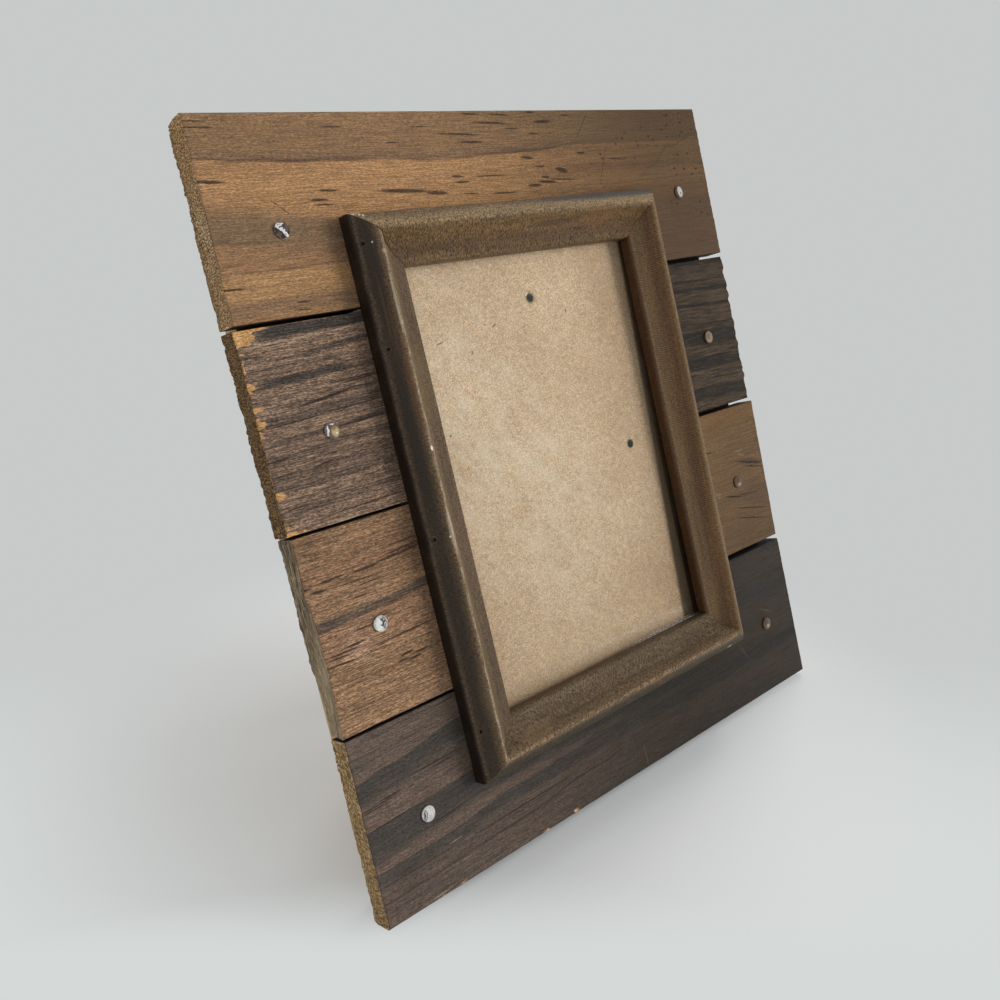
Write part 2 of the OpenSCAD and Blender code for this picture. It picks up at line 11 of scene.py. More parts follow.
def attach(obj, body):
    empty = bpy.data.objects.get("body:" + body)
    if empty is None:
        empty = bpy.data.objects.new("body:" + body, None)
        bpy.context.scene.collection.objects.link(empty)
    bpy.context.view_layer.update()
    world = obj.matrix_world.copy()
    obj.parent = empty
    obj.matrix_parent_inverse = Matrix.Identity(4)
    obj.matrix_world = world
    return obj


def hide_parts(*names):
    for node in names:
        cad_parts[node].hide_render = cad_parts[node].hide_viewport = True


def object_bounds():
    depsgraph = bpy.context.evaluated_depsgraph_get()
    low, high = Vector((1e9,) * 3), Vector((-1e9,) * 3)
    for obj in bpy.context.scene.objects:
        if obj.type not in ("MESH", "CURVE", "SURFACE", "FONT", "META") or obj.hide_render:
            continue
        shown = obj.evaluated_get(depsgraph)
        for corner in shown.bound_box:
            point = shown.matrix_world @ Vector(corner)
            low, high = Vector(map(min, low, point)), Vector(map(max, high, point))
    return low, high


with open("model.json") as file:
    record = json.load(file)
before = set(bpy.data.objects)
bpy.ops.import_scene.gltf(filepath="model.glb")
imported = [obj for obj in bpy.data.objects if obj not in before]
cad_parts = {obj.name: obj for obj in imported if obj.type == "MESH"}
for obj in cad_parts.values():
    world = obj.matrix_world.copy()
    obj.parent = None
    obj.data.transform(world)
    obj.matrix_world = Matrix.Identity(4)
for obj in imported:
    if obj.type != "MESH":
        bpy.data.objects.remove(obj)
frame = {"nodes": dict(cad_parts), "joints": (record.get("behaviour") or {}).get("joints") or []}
CAD_BOX = [list(corner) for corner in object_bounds()]

# Face coordinates: x to the right, s up the face and n out of the planks' front, in millimetres
MM = 0.001
FACE_REACH = 128.0
ACROSS = Vector((1, 0, 0))
UP = Vector(next(j["axis"] for j in frame["joints"] if j["name"] == "side_ring_swing")).normalized()
OUT = ACROSS.cross(UP)
AXES = np.array([ACROSS, UP, OUT])


def cad_points(node):
    """A CAD node's points along the face's axes, in millimetres from the frame's own origin."""
    mesh = frame["nodes"][node].data
    places = np.empty(3 * len(mesh.vertices))
    mesh.vertices.foreach_get("co", places)
    return places.reshape(-1, 3) @ AXES.T / MM


FOOT = cad_points("bottom_plank")
ZERO = np.array([0.0, FOOT[:, 1].min(), FOOT[:, 2].max()])


def face_points(node):
    return cad_points(node) - ZERO


def to_world(points):
    return (np.asarray(points, float) + ZERO) @ AXES * MM


# The camera stands where the photograph was taken from
CAMERA_AT = (-0.2708, -0.27787, 0.26674)
CAMERA_LOOK = (0.61574, 0.69357, -0.37394)
FOCAL_PIXELS = 987.08
FRAME_PIXELS = 1000
SENSOR = 36.0


def make_camera():
    camera = bpy.data.objects.new("camera", bpy.data.cameras.new("camera"))
    camera.data.sensor_width = SENSOR
    camera.data.lens = FOCAL_PIXELS / FRAME_PIXELS * SENSOR
    camera.data.clip_start = 0.01
    camera.location = CAMERA_AT
    camera.rotation_euler = Vector(CAMERA_LOOK).to_track_quat("-Z", "Y").to_euler()
    bpy.context.scene.collection.objects.link(camera)
    bpy.context.scene.camera = camera


make_camera()

# Smooth random values


def scattered(cells, seed):
    """One random value from -1 to 1 for each whole-number cell."""
    keys = np.array([374761393, 668265263, 1442695041], np.int64)
    mixed = (cells @ keys + seed * 974634777) & 0xFFFFFFFF
    mixed = ((mixed ^ (mixed >> 13)) * 1274126177) & 0xFFFFFFFF
    return ((mixed ^ (mixed >> 16)) & 0xFFFF) / 32767.5 - 1


def waves(points, size, seed):
    """Smooth random values from -1 to 1 at each point. size is how far a wave reaches along each axis."""
    spread = np.asarray(points, float) / np.asarray(size, float)
    low = np.floor(spread)
    part = spread - low
    part = part * part * (3 - 2 * part)
    cells = low.astype(np.int64)
    total = np.zeros(len(spread))
    for corner in product((0, 1), repeat=3):
        weight = np.prod(np.where(corner, part, 1 - part), axis=1)
        total += weight * scattered(cells + np.array(corner), seed)
    return total


def fade(distance, reach):
    """1 at no distance, falling smoothly to 0 at reach."""
    t = np.clip(1 - distance / reach, 0, 1)
    return t * t * (3 - 2 * t)


# Meshes


def shown(mesh, name, body, sharp):
    """A smooth object of a mesh on its body, with edges of more than sharp degrees kept crisp."""
    mesh.shade_smooth()
    mesh.set_sharp_from_angle(angle=math.radians(sharp))
    piece = bpy.data.objects.new(name, mesh)
    bpy.context.scene.collection.objects.link(piece)
    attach(piece, body)
    return piece


def new_piece(name, points, faces, material, body="frame", kinds=None, world=False, sharp=35):
    """A mesh piece from points in face coordinates. kinds gives each face's material out of a list."""
    mesh = bpy.data.meshes.new(name)
    places = np.asarray(points, float) if world else to_world(points)
    mesh.from_pydata(places.tolist(), [], [list(map(int, f)) for f in faces])
    for one in material if isinstance(material, (list, tuple)) else [material]:
        mesh.materials.append(one)
    if kinds is not None:
        mesh.polygons.foreach_set("material_index", np.asarray(kinds, np.int32))
    mesh.validate()
    return shown(mesh, name, body, sharp)


def bands(rings, around, base=0, closed=False):
    """Faces between rings of points that have around points each, counted from point base."""
    return [[base + i * around + k, base + j * around + k, base + j * around + m, base + i * around + m]
            for i in range(rings if closed else rings - 1) for k in range(around)
            for j, m in [((i + 1) % rings, (k + 1) % around)]]


def circle(count):
    """The angles of evenly spaced points round a circle."""
    return [2 * math.pi * k / count for k in range(count)]


def stations(start, end, step, ends):
    """Places from start to end, a step apart, with those in ends, counted from each end, put in between."""
    ends = np.asarray(ends, float)
    inner = end - start - 2 * ends[-1]
    middle = np.linspace(start + ends[-1], end - ends[-1], max(2, round(inner / step) + 1))
    return np.concatenate([start + ends[:-1], middle, (end - ends[:-1])[::-1]])


FRONT, EDGE, END, BACK = range(4)


def block(xs, ss, ns, hole=None):
    """Points, faces and kinds of face of the skin of a block cut into cells. hole is what is left out of it,
    as (x low, x high, s low, s high)."""
    grid = np.stack(np.meshgrid(xs, ss, ns, indexing="ij"), -1)
    index = np.arange(grid[..., 0].size).reshape(grid.shape[:3])
    full = np.ones((len(xs) - 1, len(ss) - 1), bool)
    if hole:
        mid_x = (xs[1:] + xs[:-1]) / 2
        mid_s = (ss[1:] + ss[:-1]) / 2
        full &= ~np.outer((mid_x > hole[0]) & (mid_x < hole[1]), (mid_s > hole[2]) & (mid_s < hole[3]))
    around = np.pad(full, 1)
    i, j = np.nonzero(full)
    faces, kinds = [], []
    for layer, kind, corners in ((-1, FRONT, ((0, 0), (1, 0), (1, 1), (0, 1))),
                                 (0, BACK, ((0, 0), (0, 1), (1, 1), (1, 0)))):
        faces.append(np.stack([index[i + a, j + b, layer] for a, b in corners], 1))
        kinds.append(np.full(len(i), kind))
    walls = [((-1, 0), END, ((0, 0, 0), (0, 0, 1), (0, 1, 1), (0, 1, 0))),
             ((1, 0), END, ((1, 0, 0), (1, 1, 0), (1, 1, 1), (1, 0, 1))),
             ((0, -1), EDGE, ((0, 0, 0), (1, 0, 0), (1, 0, 1), (0, 0, 1))),
             ((0, 1), EDGE, ((0, 1, 0), (0, 1, 1), (1, 1, 1), (1, 1, 0)))]
    for (di, dj), kind, corners in walls:
        bare = full & ~around[1 + di:around.shape[0] - 1 + di, 1 + dj:around.shape[1] - 1 + dj]
        i, j = np.nonzero(bare)
        for k in range(len(ns) - 1):
            faces.append(np.stack([index[i + a, j + b, k + c] for a, b, c in corners], 1))
            kinds.append(np.full(len(i), kind))
    faces = np.concatenate(faces)
    kinds = np.concatenate(kinds)
    used, compact = np.unique(faces, return_inverse=True)
    return grid.reshape(-1, 3)[used], compact.reshape(faces.shape), kinds


def clusters(points, reach):
    """Middles of the groups of points that lie within reach of each other, sorted."""
    rest, middles = points, []
    while len(rest):
        near = np.abs(rest - rest[0]).max(1) < reach
        middles.append(tuple((rest[near].min(0) + rest[near].max(0)) / 2))
        rest = rest[~near]
    return sorted(middles)


# Painting


def tone(red, green, blue):
    """A colour as it shows on a screen, from 0 to 255, in the shaders' own scale."""
    parts = [c / 255 for c in (red, green, blue)]
    return tuple(((p + 0.055) / 1.055) ** 2.4 if p > 0.04 else p / 12.92 for p in parts) + (1.0,)


def tones(*stops):
    """A ramp's stops out of (place, red, green, blue)."""
    return [(at, tone(*shade)) for at, *shade in stops]


DEEP = 1e6


class Nodes:
    """The nodes of a material or the world. Its methods take and return sockets, numbers and colours."""

    def __init__(self, owner):
        owner.use_nodes = True
        self.tree = owner.node_tree
        self.tree.nodes.clear()

    def add(self, kind, **settings):
        node = self.tree.nodes.new(kind)
        for name, value in settings.items():
            setattr(node, name, value)
        return node

    def put(self, socket, value):
        if isinstance(value, bpy.types.NodeSocket):
            self.tree.links.new(value, socket)
        else:
            socket.default_value = value

    def fill(self, sockets, values):
        for socket, value in zip(sockets, values):
            self.put(socket, value)

    def calc(self, operation, *values):
        node = self.add("ShaderNodeMath", operation=operation)
        self.fill(node.inputs, values)
        return node.outputs[0]

    def plus(self, a, b):
        return self.calc("ADD", a, b)

    def times(self, a, b):
        return self.calc("MULTIPLY", a, b)

    def scaled(self, value, factor, offset=0.0):
        return self.calc("MULTIPLY_ADD", value, factor, offset)

    def step(self, value, low, high):
        """0 below low and 1 above high, smooth in between; low may be the larger."""
        node = self.add("ShaderNodeMapRange", interpolation_type="SMOOTHSTEP")
        for name, given in (("Value", value), ("From Min", min(low, high)), ("From Max", max(low, high))):
            self.put(node.inputs[name], given)
        node.inputs["To Min"].default_value = 0.0 if low < high else 1.0
        node.inputs["To Max"].default_value = 1.0 if low < high else 0.0
        return node.outputs[0]

    def blend(self, share, a, b, kind="MIX"):
        """Colour a where share is 0, b where it is 1."""
        node = self.add("ShaderNodeMix", data_type="RGBA", blend_type=kind)
        for place, value in ((0, share), (6, a), (7, b)):
            self.put(node.inputs[place], value)
        return node.outputs[2]

    def over(self, colour, mask, share, shade):
        """colour with a share of shade laid over it where mask is 1."""
        return self.blend(self.times(mask, share), colour, shade)

    def ramp(self, value, stops, shape="LINEAR"):
        """A colour read from stops of (place, colour), or a plain value where the stops hold numbers."""
        node = self.add("ShaderNodeValToRGB")
        node.color_ramp.interpolation = shape
        self.put(node.inputs[0], value)
        points = node.color_ramp.elements
        while len(points) < len(stops):
            points.new(0.5)
        plain = not hasattr(stops[0][1], "__len__")
        for point, (place, colour) in zip(points, stops):
            point.position = place
            point.color = (colour,) * 4 if plain else colour
        return node.outputs["Alpha" if plain else "Color"]

    def measured(self, operation, place, other=(0, 0, 0)):
        """A length, a distance or a product of two vectors."""
        node = self.add("ShaderNodeVectorMath", operation=operation)
        self.put(node.inputs[0], place)
        node.inputs[1].default_value = other
        return node.outputs["Value"]

    def mixed(self, share, first, second):
        """The first shader where share is 0, the second where it is 1."""
        node = self.add("ShaderNodeMixShader")
        self.fill(node.inputs, (share, first, second))
        return node.outputs[0]

    def shader(self, kind, **sockets):
        node = self.add(kind)
        for name, value in sockets.items():
            self.put(node.inputs[name], value)
        return node.outputs[0]


class Paint(Nodes):
    """A material's nodes, with places along the face's axes in millimetres."""

    def __init__(self, name):
        self.material = bpy.data.materials.new(name)
        super().__init__(self.material)
        place = self.add("ShaderNodeMapping", vector_type="POINT")
        place.inputs["Location"].default_value = Vector(-ZERO)
        place.inputs["Rotation"].default_value = Matrix(AXES.tolist()).to_euler()
        place.inputs["Scale"].default_value = (1 / MM,) * 3
        self.put(place.inputs["Vector"], self.add("ShaderNodeTexCoord").outputs["Object"])
        self.face = place.outputs[0]
        split = self.add("ShaderNodeSeparateXYZ")
        self.put(split.inputs[0], self.face)
        self.x, self.s, self.n = split.outputs

    def vector(self, x, y, z):
        node = self.add("ShaderNodeCombineXYZ")
        self.fill(node.inputs, (x, y, z))
        return node.outputs[0]

    def stretched(self, base, sizes, seed):
        """Coordinates in which a pattern of size 1 measures sizes on the object, in millimetres."""
        node = self.add("ShaderNodeVectorMath", operation="MULTIPLY_ADD")
        self.put(node.inputs[0], base)
        node.inputs[1].default_value = tuple(1 / size for size in sizes)
        node.inputs[2].default_value = (seed * 7.3, seed * 3.1, seed * 5.7)
        return node.outputs[0]

    def texture(self, kind, base, sizes, seed, **settings):
        """The outputs of a texture. A seed shifts it, so that no two look alike."""
        node = self.add(kind)
        self.put(node.inputs["Vector"], self.stretched(base, sizes, seed))
        node.inputs["Scale"].default_value = 1.0
        for name, value in settings.items():
            node.inputs[name].default_value = value
        return node.outputs

    def noise(self, base, sizes, seed, detail=2.0, rough=0.5, swirl=0.0):
        """Smooth noise from 0 to 1 with an even spread about 0.5."""
        return self.texture("ShaderNodeTexNoise", base, sizes, seed, Detail=detail, Roughness=rough,
                            Distortion=swirl)[0]

    def crisp(self, base, sizes, seed, middle=0.5, soft=0.15, detail=3.0, rough=0.6, swirl=0.0):
        """Noise drawn apart: 0 well below its middle and 1 well above."""
        return self.step(self.noise(base, sizes, seed, detail, rough, swirl), middle - soft, middle + soft)

    def shaken(self, sizes, across, up, seed):
        """Face coordinates that wander a little, with waves of the given sizes."""
        first = self.noise(self.face, sizes, seed)
        second = self.noise(self.face, sizes, seed + 9)
        return self.vector(self.plus(self.x, self.scaled(first, 2 * across, -across)),
                           self.plus(self.s, self.scaled(second, 2 * up, -up)), 0.0)

    def cells(self, base, sizes, seed, output="Distance"):
        return self.texture("ShaderNodeTexVoronoi", base, sizes, seed)[output]

    def above(self, line):
        """How far up the face a place lies above a line through points (x, s), or above one height."""
        if not hasattr(line, "__len__"):
            return self.plus(self.s, -line)
        low = min(s for x, s in line)
        rise = max(s for x, s in line) - low + 0.01
        stops = [((x + FACE_REACH) / (2 * FACE_REACH), (s - low) / rise) for x, s in line]
        level = self.ramp(self.scaled(self.x, 0.5 / FACE_REACH, 0.5), stops, "EASE")
        return self.plus(self.s, self.scaled(level, -rise, -low))

    def spot(self, base, x, s, half_x, half_s, turn=0.0, *, soft):
        """1 inside an ellipse on the face, 0 outside. soft is the share of its radius it fades over."""
        node = self.add("ShaderNodeMapping", vector_type="TEXTURE")
        self.put(node.inputs["Vector"], base)
        node.inputs["Location"].default_value = (x, s, 0)
        node.inputs["Rotation"].default_value = (0, 0, math.radians(turn))
        node.inputs["Scale"].default_value = (half_x, half_s, DEEP)
        return self.step(self.measured("LENGTH", node.outputs[0]), 1 + soft / 2, 1 - soft / 2)

    def spots(self, base, places, soft=0.6):
        """The spots of a list of (x, s, half length, half height) or (…, turn), taken together."""
        total = 0.0
        for place in places:
            total = self.calc("MAXIMUM", total, self.spot(base, *place, soft=soft))
        return total

    def strokes(self, base, lines):
        """Pointed strokes on the face, each (x, s) to (x, s) and how thick it is."""
        places = []
        for x1, s1, x2, s2, thick in lines:
            run, rise = x2 - x1, s2 - s1
            turn = math.degrees(math.atan2(rise, run))
            places.append((x1 + run / 2, s1 + rise / 2, math.hypot(run, rise) / 2, 0.56 * thick, turn))
        return self.spots(base, places, soft=0.7)

    def finish(self, colour, roughness=0.6, height=None, depth=0.1, specular=0.5, **sockets):
        """The surface. height is a value of about 0 to 1, and depth how much 1 rises, in millimetres."""
        surface = self.add("ShaderNodeBsdfPrincipled")
        self.put(surface.inputs["Base Color"], colour)
        self.put(surface.inputs["Roughness"], roughness)
        surface.inputs["Specular IOR Level"].default_value = specular
        for name, value in sockets.items():
            surface.inputs[name.replace("_", " ")].default_value = value
        if height is not None:
            bump = self.add("ShaderNodeBump")
            bump.inputs["Distance"].default_value = depth * MM
            bump.inputs["Strength"].default_value = 1.0
            self.put(bump.inputs["Height"], height)
            self.put(surface.inputs["Normal"], bump.outputs[0])
        self.put(self.add("ShaderNodeOutputMaterial").inputs[0], surface.outputs[0])
        return self.material


GRAIN_RUN = 110.0


def grained(paint, seed, bend):
    """Coordinates along a board's grain: the rows wander up and down by bend as they run."""
    drift = paint.noise(paint.face, (GRAIN_RUN, GRAIN_RUN / 3, GRAIN_RUN / 3), seed)
    small = paint.noise(paint.face, (GRAIN_RUN / 5, 9, 9), seed + 3)
    row = paint.plus(paint.s, paint.scaled(drift, 2 * bend, -bend))
    row = paint.plus(row, paint.scaled(small, bend / 2, -bend / 4))
    return paint.vector(paint.x, row, paint.n)


def lit(paint, colour, level, strength):
    """colour made lighter or darker by a level about 0.5."""
    node = paint.add("ShaderNodeVectorMath", operation="SCALE")
    paint.put(node.inputs[0], colour)
    paint.put(node.inputs["Scale"], paint.scaled(level, 2 * strength, 1 - strength))
    return node.outputs[0]


def fibrous(paint, grain, colour, seed, contrast, calmer):
    """colour with the broken fibres and dark pores of stained wood, and the fibres' level. calmer is how
    much of the contrast is gone at the right end."""
    fine = paint.crisp(grain, (1.2, 0.32, 0.32), seed)
    drawn = paint.crisp(grain, (12.0, 0.45, 0.45), seed + 11)
    pores = paint.crisp(grain, (2.4, 0.36, 0.36), seed + 17, 0.64, 0.04)
    calm = paint.scaled(paint.step(paint.x, 10, 110), -calmer, 1)
    pitted = paint.scaled(pores, -0.5, 0.55)
    for level, strength in ((fine, contrast), (drawn, 0.7 * contrast), (pitted, 0.55)):
        colour = lit(paint, colour, paint.plus(paint.times(paint.plus(level, -0.5), calm), 0.5), strength)
    return colour, fine


def bare_marks(paint, chips, seed):
    """Where the stain has broken away, out of a list of (x, s, half x, half s, depth)."""
    place = paint.shaken((2.4, 1.5, 1.5), 2.2, 1.1, seed)
    return paint.spots(place, [chip[:4] for chip in chips], soft=0.16)


FIGURE_STOPS = (0.36, 0.5, 0.62)
PIN_MARKS = (3.6, 2.2, 2.2)


def stained_face(name, seed, figure, streak, zones, strokes, specks, marks, chips=(), *, right, bend,
                 streak_size, contrast, relief=0.12, calmer=0.6):
    """Stained wood. figure is the three tones of its broad figure, streak the colour and share of its dark
    streaks, zones a list of (mask maker, colour, share), strokes dark resin lines, specks the areas with
    dark pin marks, marks pale scratches, chips bare places, and right where and by how much the colour
    darkens towards the right end, a painted shade for the light and sheen that fall off there."""
    paint = Paint(name)
    grain = grained(paint, seed, bend)
    colour = paint.ramp(paint.noise(grain, (150, 9, 9), seed, detail=4), list(zip(FIGURE_STOPS, figure)))
    long, thick = streak_size
    line = paint.crisp(grain, (long, thick, thick), seed + 5, 0.57, 0.07, detail=4)
    colour = paint.over(colour, line, streak[1], streak[0])
    for maker, shade, share in zones:
        colour = paint.over(colour, maker(paint), share, shade)
    colour, fine = fibrous(paint, grain, colour, seed, contrast, calmer)
    height = paint.plus(fine, paint.scaled(line, -0.5))
    worn = paint.shaken((1.6, 0.5, 0.5), 0.5, 0.16, seed + 21)
    frayed = paint.crisp(grain, (1.5, 0.25, 0.25), seed + 23, 0.42, 0.12)
    dark = paint.times(paint.strokes(worn, strokes), paint.scaled(frayed, 0.35, 0.65))
    colour = paint.over(colour, dark, 0.9, tone(46, 32, 25))
    if specks:
        near = paint.step(paint.cells(worn, PIN_MARKS, seed), 0.34, 0.16)
        kept = paint.step(paint.cells(worn, PIN_MARKS, seed, "Color"), 0.36, 0.44)
        dark = paint.times(paint.times(near, kept), paint.spots(paint.face, specks, soft=0.5))
        colour = paint.over(colour, dark, 0.75, tone(48, 38, 32))
    pale = paint.times(paint.strokes(worn, marks), frayed)
    colour = paint.over(colour, pale, 0.5, tone(196, 172, 142))
    # Painted shade: the colour darkens towards the right end, where the light and sheen on the planks fall
    # off.
    colour = paint.blend(paint.step(paint.x, *right[0]), colour, (*right[1], 1), "MULTIPLY")
    if chips:
        torn = paint.noise(paint.face, (1.3, 0.5, 0.5), seed + 41, detail=4, rough=0.65)
        bare = paint.ramp(torn, tones((0.34, 128, 84, 48), (0.42, 206, 150, 92), (0.56, 226, 176, 118),
                                      (0.66, 246, 212, 164)))
        colour = paint.blend(bare_marks(paint, chips, seed + 31), colour, bare)
    return paint.finish(colour, paint.scaled(fine, 0.2, 0.5), height, relief, specular=0.35)


def strip(line, low, high, soft, wave, span=None, x_soft=12.0, seed=1):
    """A maker of a mask for what lies from low to high above a line. soft is how far it fades at each, wave
    how much it wanders, and span its two ends, with x_soft for their fading."""

    def maker(paint):
        sway = paint.noise(paint.face, (22, 9, 9), seed, detail=4)
        row = paint.plus(paint.above(line), paint.scaled(sway, 4 * wave, -2 * wave))
        mask = paint.times(paint.step(row, low - soft[0] / 2, low + soft[0] / 2),
                           paint.step(row, high + soft[1] / 2, high - soft[1] / 2))
        if span:
            mask = paint.times(mask, paint.step(paint.x, span[0] - x_soft / 2, span[0] + x_soft / 2))
            mask = paint.times(mask, paint.step(paint.x, span[1] + x_soft / 2, span[1] - x_soft / 2))
        return mask

    return maker


def torn_lines(sizes, middle, start, seed):
    """A maker of a mask for short broken lines, which begins at x = start and runs to the right."""
    return lambda paint: paint.times(paint.crisp(paint.face, sizes, seed, middle, 0.05, detail=4),
                                     paint.step(paint.x, start - 6, start + 6))


def patch(x, s, half_x, half_s, turn=0.0):
    """A maker of a mask for a soft, uneven patch."""

    def maker(paint):
        uneven = paint.crisp(paint.face, (5.0, 0.8, 0.8), x, 0.45, 0.15)
        whole = paint.spot(paint.face, x, s, half_x, half_s, turn, soft=1.2)
        return paint.times(whole, paint.scaled(uneven, 0.6, 0.4))

    return maker


LEFT_PART = (-140, -60)
RIGHT_PART = (60, 140)


def top_face():
    seam = [(-128, 262.7), (-114, 261.8), (-78, 260.6), (-50, 260), (-30, 259.1), (0, 260.2),
            (20, 261.3), (50, 263)]
    dip = [(-128, 235.7), (-112, 234.4), (-95, 231.5), (-78, 228.5)]
    rise = [(70, 244), (80, 246.5), (90, 252), (104, 260), (128, 266)]
    brow = [(35, 263), (60, 268), (80, 276)]
    zones = [(strip(seam, 0, 30, (0.6, 1), 0.4), tone(130, 101, 72), 0.8),
             (strip(seam, 0, 2, (0.4, 5), 0.4, (-140, 60), 60), tone(104, 82, 66), 0.75),
             (strip(seam, -0.5, 0.5, (0.5, 0.6), 0.4, (-110, 30), 40), tone(82, 58, 44), 0.75),
             (strip(240, 0, 20, (6, 2), 1, (-140, 20), 60), tone(164, 124, 84), 0.6),
             (strip(dip, 0, 11, (0.8, 7), 0.6, LEFT_PART), tone(112, 91, 70), 0.8),
             (strip(dip, -0.4, 0.8, (0.5, 2), 0.6, LEFT_PART), tone(96, 74, 58), 0.5),
             (strip(226.2, 0, 8, (0.6, 1), 0.5, LEFT_PART), tone(138, 105, 77), 0.6),
             (strip(226.2, -0.5, 0.3, (0.4, 0.4), 0.5, LEFT_PART), tone(100, 76, 58), 0.5),
             (strip(216.5, 0, 9, (2, 1), 0.5, LEFT_PART), tone(160, 124, 84), 0.6),
             (strip(211.5, 0, 5, (2, 2), 0.5, LEFT_PART), tone(124, 98, 74), 0.7),
             (strip(brow, 0, 30, (0.8, 1), 0.5, (35, 140)), tone(136, 108, 76), 0.6),
             (strip(rise, -0.3, 0.5, (0.5, 3), 0.5, (78, 125)), tone(100, 76, 58), 0.5),
             (strip(rise, -9, -0.5, (8, 0.6), 0.5, (88, 140)), tone(150, 122, 82), 0.35),
             (strip(226, -30, 12, (1, 10), 0.5, (84, 140)), tone(124, 98, 80), 0.6),
             (strip(276.8, 0, 9, (0.4, 1), 0.1), tone(196, 170, 134), 0.5)]
    strokes = [(-129, 255.7, -118, 255, 1.1), (-84, 250.6, -76, 250.3, 0.8),
               (-88, 247.5, -81, 247.3, 0.8), (-87, 245.9, -79, 245.6, 0.6),
               (-129, 221.3, -119, 221, 0.7), (-103, 214.5, -98, 214.3, 0.45),
               (-103, 212, -98, 211.8, 0.5), (-103, 248.4, -100, 246.2, 0.3),
               (-100, 246.2, -97, 243.2, 0.35), (-14, 276, -5, 275.6, 0.6), (0, 275.6, 10, 275.2, 0.6),
               (20, 276.3, 24, 276.2, 0.8), (39, 275, 44, 274.8, 0.6), (-8, 272.5, 8, 272, 0.7),
               (23, 272.3, 33, 272.4, 1.1), (7, 270, 14, 269.9, 0.5), (19, 267.8, 25, 267.6, 0.6),
               (-28, 268.7, -7, 267.8, 0.6), (-17, 265.3, -6, 265, 0.8), (-40, 271.5, -31, 271.3, 0.3),
               (-52, 265.9, -46, 265.9, 0.5), (12, 258.6, 18.5, 258, 1.0),
               (-25, 252.7, -19.5, 252.3, 0.8), (-24, 250.4, -17, 250.3, 0.7),
               (-14, 252.2, 2, 251.8, 0.55), (19, 254.6, 24, 254.5, 0.5), (30, 253.3, 36.5, 251.8, 1.8),
               (-60, 249.2, -37, 247.8, 1.2), (-39, 247.4, -29, 246.6, 1.3),
               (-21, 245.9, -14, 245.7, 0.5), (-7, 245.2, 6, 245, 0.6), (21, 250.4, 25.5, 250, 0.9),
               (19, 248.6, 29, 247.9, 1.1), (25, 249.3, 41, 248.4, 0.5), (13, 247.3, 20, 247.1, 1.1),
               (-77, 272, -69, 271.8, 0.5), (-128, 274.6, -119, 274.3, 0.5),
               (-128, 272.6, -117, 272.4, 0.5), (56, 276.5, 46, 265.5, 0.3), (63, 262, 54, 245, 0.25),
               (62, 256.3, 74, 255.6, 0.4), (44, 259.3, 49, 259.1, 0.8)]
    specks = [(53, 256, 7, 8), (76, 261, 9, 6), (96, 266, 9, 7), (112, 270, 12, 7), (114, 250, 13, 8),
              (102, 239, 6, 6), (123, 231, 6, 7)]
    return stained_face("top_wood", 2.0, (tone(145, 109, 75), tone(159, 121, 83), tone(170, 130, 90)),
                        (tone(118, 88, 62), 0.4), zones, strokes, specks, [(-128, 254.7, -124, 254.8, 0.7)],
                        right=((-60, 110), (0.33, 0.32, 0.29)), bend=1.6, contrast=0.32,
                        streak_size=(70.0, 1.0))


